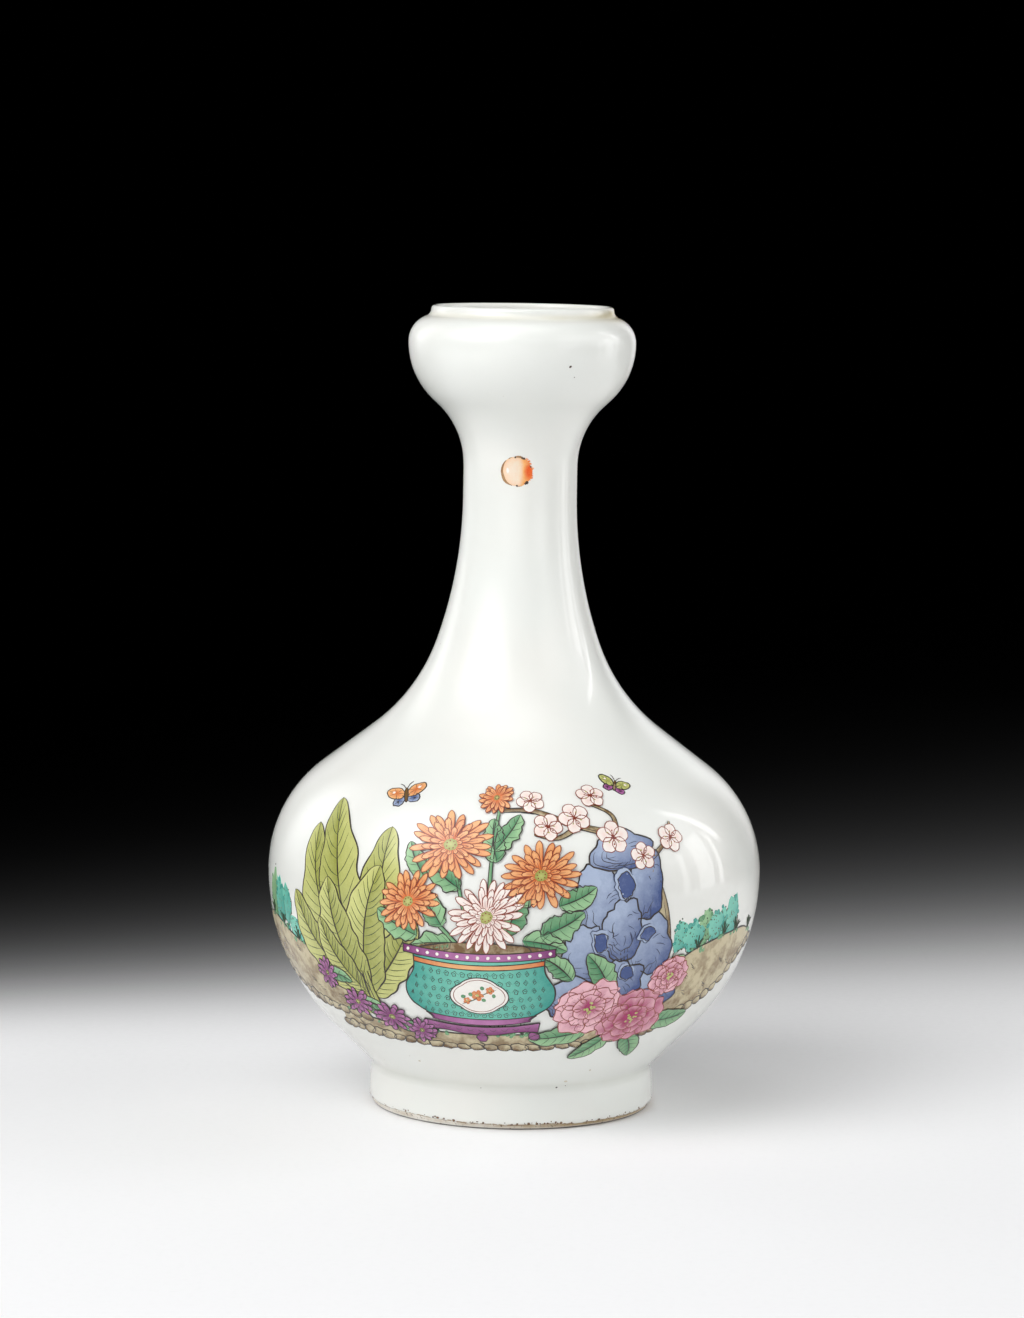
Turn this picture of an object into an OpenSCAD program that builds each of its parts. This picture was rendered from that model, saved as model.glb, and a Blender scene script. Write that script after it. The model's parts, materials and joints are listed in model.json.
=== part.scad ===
// Garlic-mouth vase of glazed porcelain.
// A turned foot ring, a body thrown in two halves, a neck and a garlic-shaped mouth are luted
// together with slip. A glaze coat covers the outside, the inside and the recessed base, and leaves
// the foot rim bare. An overglaze enamel sun lies on the neck.
// Units are millimetres. The vase stands on z = 0 with its axis on Z, and its painted front faces -Y.

/* [Foot] */
// Widest diameter of the foot ring, over the glaze
foot_d = 78.4; // [77.6:0.2:84]
// Diameter of the foot ring under the body, over the glaze
foot_top_d = 77.2; // [73:0.2:78]
// Height of the foot ring
foot_h = 11.8; // [8:0.2:18]
// Height at which the foot ring is widest
foot_swell_z = 3.8; // [2.6:0.1:6]
// Outer diameter of the flat rim that the vase stands on
rim_d = 75.8; // [72:0.2:77]
// Width of the flat rim
rim_w = 3; // [2:0.1:5]
// Height of the bare bevels beside the rim
bevel_h = 1.9; // [1:0.1:3]
// Width of the bare bevel beside the rim, with the rim centred under the foot's wall
inner_bevel_w = 0.8; // [0.4:0.1:2]

/* [Body] */
// Widest diameter of the body
belly_d = 135.6; // [124:0.2:148]
// Height of the widest girth above the foot ring
belly_rise = 53.6; // [47:0.2:62]
// Slope of the straight run above the foot ring, from upright
under_slope = 45.3; // [41:0.1:49]
// Radius of the shoulder's round above the girth
shoulder_round = 35.8; // [31:0.2:42]
// Slope of the straight run below the neck, from upright
shoulder_slope = 52.8; // [46:0.1:56]
// Thickness of the floor
floor_t = 4.6; // [3:0.1:8]

/* [Neck] */
// Narrowest diameter of the neck
neck_d = 31.1; // [26:0.1:37]
// Height of the waist's lower end above the girth
waist_rise = 102.8; // [97:0.2:118]
// Height of the straight stretch at the waist
waist_h = 8.5; // [2:0.5:16]
// Height of the neck's long sweep below the waist
sweep_h = 40; // [30:0.5:44]
// Radius of the neck's long sweep
sweep_round = 120.5; // [100:0.5:170]

/* [Garlic mouth] */
// Widest diameter of the garlic bulb
bulb_d = 62.1; // [57:0.1:68]
// Height of the bulb's girth above the waist
bulb_rise = 33.4; // [30:0.2:40]
// Radius of the bulb's round below its girth
bulb_under_round = 21.5; // [18:0.1:24]
// Radius of the bulb's round above its girth
bulb_top_round = 7.5; // [6.4:0.1:8.8]
// Height of the mouth section below the bulb's girth
mouth_drop = 20.1; // [18:0.1:24]
// Diameter of the crease where the collar rises from the bulb
collar_d = 53.2; // [51:0.1:56]
// Outer diameter of the lip
lip_d = 49.8; // [46:0.1:52]
// Height of the lip above the bulb's girth
lip_rise = 9.9; // [9:0.1:13]
// Thickness of the lip
lip_t = 1.8; // [1.4:0.1:2.6]

/* [Walls and coats] */
// Thickness of the thrown wall
wall = 3.5; // [2:0.1:4.4]
// Thickness of the glaze coat
glaze_t = 0.3; // [0.2:0.05:0.5]
// Thickness of the luting slip between two sections
slip_t = 0.6; // [0.3:0.1:1.2]

/* [Painted sun] */
// Diameter of the enamel sun on the neck
sun_d = 8.2; // [6:0.1:12]
// Height of the sun's centre above the waist's lower end
sun_rise = 7.6; // [2:0.1:10]
// Turn of the sun round the neck from the front, anticlockwise from above
sun_turn = -3.3; // [-30:0.1:30]
// Thickness of the enamel
enamel_t = 0.15; // [0.1:0.05:0.3]

/* [Hidden] */

// Largest gap between a round and the chords that stand for it
arc_sag = 0.02;
// Points of an outline closer than this are one point
same_point = 0.001;
$fn = 120;

porcelain = "#e6dcc8";
bare_porcelain = "#c9b08a";
luting_slip = "#d9cdb6";
white_glaze = "#f1f4ee";
sun_red = "#e5743c";

// Radii and heights that the driving sizes give
foot_r = foot_d / 2;
foot_top_r = foot_top_d / 2;
rim_r = rim_d / 2;
rim_inner_r = rim_r - rim_w;
foot_wall = rim_w + 2 * inner_bevel_w;
belly_r = belly_d / 2;
neck_r = neck_d / 2;
bulb_r = bulb_d / 2;
collar_r = collar_d / 2;
lip_r = lip_d / 2;
bore_r = lip_r - lip_t;
floor_z = foot_h + floor_t;
belly_z = foot_h + belly_rise;
waist_z = belly_z + waist_rise;
waist_top_z = waist_z + waist_h;
bulb_z = waist_top_z + bulb_rise;
mouth_seam_z = bulb_z - mouth_drop;
lip_z = bulb_z + lip_rise;

// Depths below the glazed surface, down to the inner surface of the inner glaze
surface = 0;
clay = glaze_t;
inside = clay + wall;
inside_surface = inside + glaze_t;
foot_bore = clay + foot_wall;

function unit(v) = v / norm(v);
function polar(a) = [cos(a), sin(a)];
function heading(a, b) = atan2(b[1] - a[1], b[0] - a[0]);
function arc_angle(length, r) = length / r * 180 / PI;
function reversed(list) = [for (i = [len(list) - 1 : -1 : 0]) list[i]];

// A station is a point [r, z] of the glazed outline with its unit normal, which points out of the wall.
// A side of 1 is a round that bulges, and a side of -1 is a hollow round.
function round_stations(c, r, from, to, side) =
    let (steps = max(1, ceil(abs(to - from) / (2 * acos(1 - arc_sag / abs(r))))))
    [for (i = [0 : steps]) let (n = polar(from + (to - from) * i / steps)) [c + r * n, side * n]];

// Stations of the foot's round with level normals, so that the ends of its layers are flat
function foot_round_stations(from, to) =
    [for (s = round_stations(foot_c, foot_round, from, to, 1)) [s[0], [1, 0]]];

// Stations of a straight run that goes up from p to q
function straight_stations(p, q) = let (n = unit([q[1] - p[1], p[0] - q[0]])) [[p, n], [q, n]];

// Outline of the layer at a depth below the glazed surface
function layer(stations, depth) = [for (s = stations) s[0] - depth * s[1]];

// Radius of the round that passes through p with normal n and touches the line through q with normal m
function round_to_line(p, n, q, m, side) = side * (m * (q - p)) / (1 - m * n);

// Radius of the hollow round that passes through p with normal n and touches the round (c, r)
function round_to_round(p, n, c, r) = let (d = p - c) (d * d - r * r) / (2 * (r - d * n));

// Radius of the round that is upright at one height and has drawn in by run at a height h away
function upright_round(run, h) = (run * run + h * h) / (2 * run);

// Foot: one shallow round that swells from the bare bevel and draws in to the crease under the body
crease = [foot_top_r, foot_h];
foot_round = upright_round(foot_r - foot_top_r, foot_h - foot_swell_z);
foot_c = [foot_r - foot_round, foot_swell_z];
bevel_angle = asin((bevel_h - foot_swell_z) / foot_round);
foot_seam_angle = asin((foot_h - slip_t - foot_swell_z) / foot_round);
crease_angle = asin((foot_h - foot_swell_z) / foot_round);
base_angle = asin((foot_h - glaze_t - foot_swell_z) / foot_round);

// Body: a straight run from the crease into the round below the girth, and the shoulder's round above it
girth = [belly_r, belly_z];
under_round = round_to_line(girth, [1, 0], crease, polar(-under_slope), 1);
under_c = girth - [under_round, 0];
shoulder_c = girth - [shoulder_round, 0];
shoulder_n = polar(shoulder_slope);
shoulder_end = shoulder_c + shoulder_round * shoulder_n;

// Neck: a long sweep down from the waist, and a hollow from its end to the shoulder's straight run
sweep_c = [neck_r + sweep_round, waist_z];
sweep_angle = 180 + asin(sweep_h / sweep_round);
sweep_end = sweep_c + sweep_round * polar(sweep_angle);
hollow_round = round_to_line(sweep_end, -polar(sweep_angle), shoulder_end, shoulder_n, -1);
hollow_c = sweep_end - hollow_round * polar(sweep_angle);

// Throat: the hollow between the waist and the bulb
bulb_under_c = [bulb_r - bulb_under_round, bulb_z];
throat_round = round_to_round([neck_r, waist_top_z], [1, 0], bulb_under_c, bulb_under_round);
throat_c = [neck_r + throat_round, waist_top_z];
throat_touch = heading(bulb_under_c, throat_c);
mouth_seam_angle = 180 - asin((mouth_seam_z - waist_top_z) / throat_round);

// Mouth: the bulb's top round, and a collar that sweeps up from the crease on it to the round lip
bulb_top_c = [bulb_r - bulb_top_round, bulb_z];
collar_touch = acos((collar_r - bulb_top_c[0]) / bulb_top_round);
collar_foot = bulb_top_c + bulb_top_round * polar(collar_touch);
lip_round = lip_t / 2;
lip_c = [lip_r - lip_round, lip_z - lip_round];
collar_round = upright_round(collar_r - lip_r, lip_c[1] - collar_foot[1]);
collar_c = [lip_r + collar_round, lip_c[1]];

// Half of each slip seam, as an angle on the round that it lies in
under_slip = arc_angle(slip_t / 2, under_round);
shoulder_slip = arc_angle(slip_t / 2, shoulder_round);
hollow_slip = arc_angle(slip_t / 2, hollow_round);
sweep_slip = arc_angle(slip_t / 2, sweep_round);
throat_slip = arc_angle(slip_t / 2, throat_round);

// The glazed outline, stretch by stretch, from the foot to the lip
foot_stations = foot_round_stations(bevel_angle, foot_seam_angle);
foot_seam_stations = foot_round_stations(foot_seam_angle, crease_angle);
lower_stations = concat(
    straight_stations(crease, under_c + under_round * polar(-under_slope)),
    round_stations(under_c, under_round, -under_slope, -under_slip, 1)
);
girth_seam_stations = concat(
    round_stations(under_c, under_round, -under_slip, 0, 1),
    round_stations(shoulder_c, shoulder_round, 0, shoulder_slip, 1)
);
upper_stations = concat(
    round_stations(shoulder_c, shoulder_round, shoulder_slip, shoulder_slope, 1),
    round_stations(hollow_c, hollow_round, shoulder_slope + 180, sweep_angle + hollow_slip, -1)
);
shoulder_seam_stations = concat(
    round_stations(hollow_c, hollow_round, sweep_angle + hollow_slip, sweep_angle, -1),
    round_stations(sweep_c, sweep_round, sweep_angle, sweep_angle - sweep_slip, -1)
);
neck_stations = concat(
    round_stations(sweep_c, sweep_round, sweep_angle - sweep_slip, 180, -1),
    round_stations(throat_c, throat_round, 180, mouth_seam_angle + throat_slip, -1)
);
mouth_seam_stations = round_stations(
    throat_c, throat_round, mouth_seam_angle + throat_slip, mouth_seam_angle - throat_slip, -1
);
bulb_stations = concat(
    round_stations(throat_c, throat_round, mouth_seam_angle - throat_slip, throat_touch + 180, -1),
    round_stations(bulb_under_c, bulb_under_round, throat_touch, 0, 1),
    round_stations(bulb_top_c, bulb_top_round, 0, collar_touch, 1)
);
collar_stations = round_stations(collar_c, collar_round, heading(collar_c, collar_foot) + 360, 180, -1);
lip_outer_stations = round_stations(lip_c, lip_round, 0, 90, 1);
lip_inner_stations = round_stations(lip_c, lip_round, 90, 180, 1);

// Outline of the wall above a floor at a depth, up to the girth's seam, from the chamfer round the floor
function floor_outline(depth, bottom_z) =
    let (
        sides = [for (p = layer(lower_stations, depth)) if (p[1] > bottom_z) p],
        chamfer = sides[0][1] - bottom_z
    )
    concat([[0, bottom_z], [sides[0][0] - chamfer, bottom_z]], sides);

// Outline inside the mouth at a depth, from its seam up to the crest of the lip
function mouth_outline(depth, bore, lip_depth) =
    let (sides = layer(bulb_stations, depth), soffit_z = sides[len(sides) - 1][1])
    concat(sides, [[bore, soffit_z]], reversed(layer(lip_inner_stations, lip_depth)));

// A body turned about the axis from its outline
module turned(outline) {
    last = len(outline) - 1;
    rotate_extrude()
    polygon([
        for (i = [0 : last])
            if (norm(outline[i] - outline[i == 0 ? last : i - 1]) > same_point) outline[i]
    ]);
}

// A ring of wall between two depths along a stretch of the outline
module ring(stations, outer, inner) {
    turned(concat(layer(stations, outer), reversed(layer(stations, inner))));
}

// Thrown sections, from the foot up

module foot_ring() {
    color(bare_porcelain)
    turned(concat(
        [[rim_inner_r, 0], [rim_r, 0]],
        layer(foot_stations, clay),
        reversed(layer(foot_stations, foot_bore))
    ));
}

module lower_body() {
    color(porcelain)
    turned(concat(
        [[0, foot_h], [foot_top_r - clay, foot_h]],
        layer(lower_stations, clay),
        reversed(floor_outline(inside, floor_z))
    ));
}

module upper_body() {
    color(porcelain) ring(upper_stations, clay, inside);
}

module neck() {
    color(porcelain) ring(neck_stations, clay, inside);
}

module garlic_mouth() {
    color(porcelain)
    turned(concat(
        layer(bulb_stations, clay),
        layer(collar_stations, clay),
        layer(lip_outer_stations, clay),
        reversed(mouth_outline(inside, bore_r + glaze_t, clay))
    ));
}

// Luting slip between the sections

module foot_luting() {
    color(luting_slip) ring(foot_seam_stations, clay, foot_bore);
}

module girth_luting() {
    color(luting_slip) ring(girth_seam_stations, clay, inside);
}

module shoulder_luting() {
    color(luting_slip) ring(shoulder_seam_stations, clay, inside);
}

module mouth_luting() {
    color(luting_slip) ring(mouth_seam_stations, clay, inside);
}

// Glaze coats

module outer_glaze() {
    stations = concat(
        foot_stations, foot_seam_stations, lower_stations, girth_seam_stations, upper_stations,
        shoulder_seam_stations, neck_stations, mouth_seam_stations, bulb_stations,
        collar_stations, lip_outer_stations
    );
    color(white_glaze) ring(stations, surface, clay);
}

module inner_glaze() {
    stations = concat(
        girth_seam_stations, upper_stations, shoulder_seam_stations, neck_stations, mouth_seam_stations
    );
    color(white_glaze)
    turned(concat(
        floor_outline(inside, floor_z),
        layer(stations, inside),
        mouth_outline(inside, bore_r + glaze_t, clay),
        reversed(mouth_outline(inside_surface, bore_r, surface)),
        reversed(layer(stations, inside_surface)),
        reversed(floor_outline(inside_surface, floor_z + glaze_t))
    ));
}

module base_glaze() {
    bore_stations = concat(foot_stations, foot_seam_stations);
    face_stations = foot_round_stations(bevel_angle, base_angle);
    color(white_glaze)
    turned(concat(
        layer(bore_stations, foot_bore),
        [[0, foot_h], [0, foot_h - glaze_t]],
        reversed(layer(face_stations, foot_bore + glaze_t))
    ));
}

// Enamel on the glaze

module sun_enamel() {
    color(sun_red)
    intersection() {
        ring(neck_stations, -enamel_t, surface);
        rotate([90, 0, sun_turn]) translate([0, waist_z + sun_rise, 0]) cylinder(h = belly_r, d = sun_d);
    }
}

foot_ring();
lower_body();
upper_body();
neck();
garlic_mouth();
foot_luting();
girth_luting();
shoulder_luting();
mouth_luting();
outer_glaze();
inner_glaze();
base_glaze();
sun_enamel();
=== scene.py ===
"""Garlic-mouth vase of glazed porcelain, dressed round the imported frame.

The script spins the glaze coats and the bare foot, lays the overglaze enamels on the belly and the neck,
and sets up a small studio. Objects are in metres. Drawing sizes are in millimetres, and their names end
in _mm where they could be mistaken. The painted front faces -Y. A turn is an angle round the axis from the
front, positive towards the viewer's right.
"""

from __future__ import annotations

import json
import logging
import math
import random
from dataclasses import dataclass, field
from enum import Enum
from functools import partial
from typing import Callable, Sequence, Union

import bmesh
import bpy
from mathutils import Euler, Matrix, Vector, noise

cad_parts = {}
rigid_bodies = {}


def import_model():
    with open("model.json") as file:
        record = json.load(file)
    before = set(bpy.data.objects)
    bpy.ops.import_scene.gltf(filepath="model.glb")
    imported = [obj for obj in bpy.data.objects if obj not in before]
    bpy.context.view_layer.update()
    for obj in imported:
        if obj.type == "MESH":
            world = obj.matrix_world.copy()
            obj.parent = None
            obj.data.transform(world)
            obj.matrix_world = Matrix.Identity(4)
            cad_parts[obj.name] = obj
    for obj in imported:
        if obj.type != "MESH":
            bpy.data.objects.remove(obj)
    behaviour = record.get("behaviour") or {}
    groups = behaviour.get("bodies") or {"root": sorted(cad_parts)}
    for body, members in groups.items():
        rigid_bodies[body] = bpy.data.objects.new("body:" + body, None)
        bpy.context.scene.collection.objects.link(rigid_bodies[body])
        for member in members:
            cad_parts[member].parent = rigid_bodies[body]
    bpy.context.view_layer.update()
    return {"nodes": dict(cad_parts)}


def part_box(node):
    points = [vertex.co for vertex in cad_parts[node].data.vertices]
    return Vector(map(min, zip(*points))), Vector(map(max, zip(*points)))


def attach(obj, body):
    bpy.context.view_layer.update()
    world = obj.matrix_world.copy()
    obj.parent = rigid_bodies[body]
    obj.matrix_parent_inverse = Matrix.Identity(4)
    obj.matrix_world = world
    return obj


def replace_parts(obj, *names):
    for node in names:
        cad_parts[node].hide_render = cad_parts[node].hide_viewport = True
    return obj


LOG = logging.getLogger("vase")
MM = 0.001

Colour = tuple[float, float, float, float]
Operand = Union["Socket", float, Colour, tuple[float, float, float]]


class Socket:
    """A node's output, with Python's operators for shader maths on numbers."""

    def __init__(self, graph: "Graph", socket: bpy.types.NodeSocket) -> None:
        """Keep the output socket and the graph that it belongs to."""
        self.graph = graph
        self.socket = socket

    def maths(self, operation: str, first: Operand, second: Operand) -> "Socket":
        """Add a Math node.

        Args:
            operation: the Math node's operation.
            first: its first value.
            second: its second value.

        Returns:
            The node's result.
        """
        return self.graph.make("ShaderNodeMath", {"operation": operation}, {0: first, 1: second})

    def __add__(self, other: Operand) -> "Socket":
        """Sum."""
        return self.maths("ADD", self, other)

    __radd__ = __add__

    def __mul__(self, other: Operand) -> "Socket":
        """Product."""
        return self.maths("MULTIPLY", self, other)

    __rmul__ = __mul__

    def __sub__(self, other: Operand) -> "Socket":
        """Difference."""
        return self.maths("SUBTRACT", self, other)

    def __rsub__(self, other: Operand) -> "Socket":
        """Difference, with this value taken off the other one."""
        return self.maths("SUBTRACT", other, self)

    def __truediv__(self, other: Operand) -> "Socket":
        """Quotient."""
        return self.maths("DIVIDE", self, other)

    def __rtruediv__(self, other: Operand) -> "Socket":
        """Quotient, with this value as the divisor."""
        return self.maths("DIVIDE", other, self)

    def __pow__(self, other: Operand) -> "Socket":
        """Power."""
        return self.maths("POWER", self, other)

    def __rpow__(self, other: Operand) -> "Socket":
        """Power, with this value as the exponent."""
        return self.maths("POWER", other, self)

    def least(self, other: Operand) -> "Socket":
        """The smaller of this value and the other one."""
        return self.maths("MINIMUM", self, other)

    def most(self, other: Operand) -> "Socket":
        """The larger of this value and the other one."""
        return self.maths("MAXIMUM", self, other)

    def clamped(self) -> "Socket":
        """This value, held between 0 and 1."""
        return self.most(0.0).least(1.0)


class Graph:
    """The node tree of a material or a light, built by expressions."""

    material: bpy.types.Material

    def __init__(self, tree: bpy.types.NodeTree) -> None:
        """Start with the tree emptied."""
        self.tree = tree
        tree.nodes.clear()

    @classmethod
    def of_material(cls, name: str) -> "Graph":
        """Start an empty material.

        Args:
            name: the material's name.

        Returns:
            Its graph.
        """
        material = bpy.data.materials.new(name)
        material.use_nodes = True
        graph = cls(material.node_tree)
        graph.material = material
        return graph

    def node(self, kind: str, settings: dict | None = None, inputs: dict | None = None) -> bpy.types.Node:
        """Add any node.

        Args:
            kind: the node's type.
            settings: properties of the node, set first.
            inputs: values or links of its sockets, by name or index.

        Returns:
            The new node.
        """
        node = self.tree.nodes.new(kind)
        for key, value in (settings or {}).items():
            setattr(node, key, value)
        for key, value in (inputs or {}).items():
            if isinstance(value, Socket):
                self.tree.links.new(value.socket, node.inputs[key])
            else:
                node.inputs[key].default_value = value
        return node

    def make(
        self, kind: str, settings: dict | None = None, inputs: dict | None = None, output: int = 0
    ) -> Socket:
        """Add any node and give one of its outputs.

        Args:
            kind: the node's type.
            settings: properties of the node, set first.
            inputs: values or links of its sockets, by name or index.
            output: index of the output.

        Returns:
            The output.
        """
        return Socket(self, self.node(kind, settings, inputs).outputs[output])

    def place(self) -> Socket:
        """Position on the object, in metres."""
        return self.make("ShaderNodeTexCoord", output=3)

    def axis(self, index: int) -> Socket:
        """One coordinate of the position on the object: 0 is x, 1 is y and 2 is z."""
        return self.make("ShaderNodeSeparateXYZ", None, {0: self.place()}, index)

    def attribute(self, name: str) -> Socket:
        """A number that the mesh stores on its vertices."""
        return self.make("ShaderNodeAttribute", {"attribute_name": name}, None, 2)

    def noise(self, size_mm: float, detail: float = 2.0, rough: float = 0.5) -> Socket:
        """Smooth noise over the object.

        Args:
            size_mm: size of its features in millimetres.
            detail: how many finer layers it has.
            rough: weight of the finer layers.

        Returns:
            A value about 0.5.
        """
        inputs = {"Vector": self.place(), "Scale": 1 / (size_mm * MM), "Detail": detail, "Roughness": rough}
        return self.make("ShaderNodeTexNoise", None, inputs)

    def dots(self, size_mm: float) -> Socket:
        """Distance to the nearest of scattered points, in units of their spacing in millimetres."""
        inputs = {"Vector": self.place(), "Scale": 1 / (size_mm * MM)}
        return self.make("ShaderNodeTexVoronoi", {"feature": "F1"}, inputs)

    def ramp(self, value: Operand, low: float, high: float) -> Socket:
        """Smooth step of a value from 0 at low to 1 at high."""
        inputs = {"Value": value, "From Min": low, "From Max": high}
        return self.make("ShaderNodeMapRange", {"interpolation_type": "SMOOTHSTEP"}, inputs)

    def rise(self, index: int, span_mm: tuple[float, float]) -> Socket:
        """Smooth step along one axis of the object, from 0 to 1 between two places in millimetres."""
        return self.ramp(self.axis(index), span_mm[0] * MM, span_mm[1] * MM)

    def mix(self, factor: Operand, first: Operand, second: Operand) -> Socket:
        """Mix two colours."""
        return self.make("ShaderNodeMix", {"data_type": "RGBA"}, {0: factor, 6: first, 7: second}, 2)

    def bump(self, height: Socket, depth_mm: float) -> Socket:
        """Normal of a surface with small relief.

        Args:
            height: relief from 0 to 1.
            depth_mm: how deep a relief of 1 is.

        Returns:
            The normal.
        """
        inputs = {"Strength": 1.0, "Distance": depth_mm * MM, "Height": height}
        return self.make("ShaderNodeBump", None, inputs)

    def shaded(self, **inputs: Operand) -> bpy.types.Material:
        """Close the material with a Principled shader.

        Args:
            inputs: values or links of the shader's sockets, named with _ for spaces.

        Returns:
            The material.
        """
        named = {key.replace("_", " "): value for key, value in inputs.items()}
        shader = self.node("ShaderNodeBsdfPrincipled", None, named)
        self.node("ShaderNodeOutputMaterial", None, {"Surface": Socket(self, shader.outputs[0])})
        return self.material


@dataclass(frozen=True)
class GlazeFinish:
    """Clear white glaze: greyer in the crease above the foot, partly the thick glaze's tint and partly
    painted shade, burnt where it thins out, and tan where dirt has settled.

    The mesh stores pool_and_shade, 1 in the crease where the glaze is thick and takes painted shade, thin, 1
    at an edge where it thins out, and stain, 1 where dirt has settled in the groove under the collar.
    """

    name: str
    white: Colour = (0.830, 0.830, 0.790, 1)
    cool: Colour = (0.815, 0.830, 0.795, 1)
    pooled_and_shaded: Colour = (0.64, 0.655, 0.59, 1)
    burnt: Colour = (0.36, 0.25, 0.14, 1)
    stained: Colour = (0.54, 0.45, 0.21, 1)
    pinhole: Colour = (0.30, 0.24, 0.17, 1)
    roughness: float = 0.045
    refraction: float = 1.52
    cloud_mm: float = 42.0
    wave_mm: float = 7.5
    ripple_mm: float = 1.3
    pinhole_mm: float = 3.1
    relief_mm: float = 0.025

    def material(self) -> bpy.types.Material:
        """Make the material.

        Returns:
            The material.
        """
        graph = Graph.of_material(self.name)
        cloud = graph.ramp(graph.noise(self.cloud_mm, 2), 0.35, 0.65)
        colour = graph.mix(cloud, self.white, self.cool)
        # Greyer in the crease above the foot: the thick glaze's tint and painted shade in the crease.
        pooled_and_shaded = graph.attribute("pool_and_shade") * (0.55 + 0.45 * graph.noise(9, 2))
        colour = graph.mix(pooled_and_shaded, colour, self.pooled_and_shaded)
        broken = graph.ramp(graph.noise(2.6, 3, 0.65), 0.36, 0.62)
        burnt = graph.ramp(graph.attribute("thin") * (0.35 + broken), 0.30, 0.95)
        colour = graph.mix(burnt, colour, self.burnt)
        settled = graph.attribute("stain") * (0.8 + 0.4 * graph.ramp(graph.noise(12, 3), 0.35, 0.7))
        colour = graph.mix(settled.least(0.9), colour, self.stained)
        rare = graph.ramp(graph.noise(11, 1), 0.66, 0.70)
        pinholes = (1 - graph.ramp(graph.dots(self.pinhole_mm), 0.035, 0.06)) * rare
        colour = graph.mix(pinholes * 0.75, colour, self.pinhole)
        waves = graph.noise(self.wave_mm, 1) * 0.8 + graph.noise(self.ripple_mm, 2) * 0.05
        gloss = self.roughness + 0.03 * graph.ramp(graph.noise(16, 3), 0.5, 0.8)
        return graph.shaded(
            Base_Color=colour,
            Roughness=gloss,
            IOR=self.refraction,
            Normal=graph.bump(waves - pinholes * 0.1, self.relief_mm),
        )


@dataclass(frozen=True)
class BiscuitFinish:
    """Unglazed porcelain: matt, gritty and browned by the kiln, with iron specks towards the glaze edge, and
    dirt with a painted contact shadow along the bottom.

    It is darker and browner towards the viewer's right, a painted shade, and its iron specks crowd there.
    """

    name: str
    pale: Colour = (0.90, 0.88, 0.83, 1)
    toasted_and_shaded: Colour = (0.48, 0.36, 0.21, 1)
    iron: Colour = (0.10, 0.055, 0.028, 1)
    soiled_and_shadowed: Colour = (0.07, 0.06, 0.05, 1)
    speck_mm: tuple[float, float] = (0.3, 1.0)
    # Dark band along the bottom: dirt and a painted contact shadow.
    soil_and_shadow_mm: tuple[float, float] = (0.2, 0.55)
    # Span over which the biscuit turns darker towards the viewer's right as painted shade, where its specks
    # also crowd.
    shade_and_speck_side_mm: tuple[float, float] = (-25.0, 30.0)
    patch_mm: float = 5.5
    grit_mm: float = 0.35
    blot_mm: float = 0.95
    fine_speck_mm: float = 0.55
    roughness: float = 0.72
    relief_mm: float = 0.08

    def material(self) -> bpy.types.Material:
        """Make the material.

        Returns:
            The material.
        """
        graph = Graph.of_material(self.name)
        patchy = graph.ramp(graph.noise(self.patch_mm, 4, 0.6), 0.36, 0.66)
        grit = graph.noise(self.grit_mm, 3, 0.7)
        near_edge = graph.rise(2, self.speck_mm)
        # Ramp to the viewer's right: painted shade there, and more of the real iron specks.
        shade_and_speck_side = graph.rise(0, self.shade_and_speck_side_mm)
        # Kiln browning near the glaze edge and in patches, with painted shade towards the viewer's right.
        toast_and_shade = (0.10 + 0.35 * patchy + 0.25 * shade_and_speck_side) * near_edge + 0.40 * shade_and_speck_side + 0.12 * grit
        colour = graph.mix(toast_and_shade, self.pale, self.toasted_and_shaded)
        crowded = graph.ramp(graph.noise(14, 2), 0.42, 0.60)
        threshold = 0.68 - (0.03 + 0.09 * crowded + 0.05 * shade_and_speck_side) * near_edge
        blot = graph.ramp(graph.noise(self.blot_mm, 2, 0.6), threshold, 0.74)
        blot = blot * (0.25 + 0.75 * near_edge)
        fine = graph.ramp(graph.noise(self.fine_speck_mm, 2), 0.66, 0.72)
        colour = graph.mix(blot.most(fine), colour, self.iron)
        # Darkest along the bottom edge: dirt, and a painted contact shadow where the rim meets the floor.
        dirt = (1 - graph.rise(2, self.soil_and_shadow_mm)) * (0.8 + 0.2 * patchy)
        colour = graph.mix(dirt, colour, self.soiled_and_shadowed)
        return graph.shaded(
            Base_Color=colour,
            Roughness=self.roughness + 0.2 * grit,
            Normal=graph.bump(grit + 0.8 * blot, self.relief_mm),
        )


@dataclass(frozen=True)
class FloorFinish:
    """Studio floor: pale under the vase, and darkening far behind it, a painted falloff of the light."""

    name: str = "studio_paper"
    pale: Colour = (0.92, 0.92, 0.93, 1)
    dark: Colour = (0.0, 0.0, 0.0, 1)
    # Where and how the painted falloff of the light darkens the floor behind the vase.
    falloff_start: float = -0.02
    falloff_reach: float = 0.205
    falloff_turn: float = 0.327
    falloff_limit: float = 0.35
    fade_power: float = 5.2

    def material(self) -> bpy.types.Material:
        """Make the material.

        Returns:
            The material.
        """
        graph = Graph.of_material(self.name)
        # Painted falloff of the light: the floor darkens with distance behind the vase, reaching further on
        # the right.
        aside = graph.axis(0).most(-self.falloff_limit).least(self.falloff_limit)
        reach = self.falloff_reach + self.falloff_turn * aside
        depth = (graph.axis(1) - self.falloff_start).most(0.0) / reach
        painted_falloff = 1 / (1 + depth ** self.fade_power)
        grain = 0.97 + 0.06 * graph.noise(2.0, 3)
        colour = graph.mix(painted_falloff * grain, self.dark, self.pale)
        return graph.shaded(Base_Color=colour, Roughness=1.0, Specular_IOR_Level=0.0)


def clamped(value: float) -> float:
    """A number, held between 0 and 1."""
    return min(max(value, 0.0), 1.0)


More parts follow.
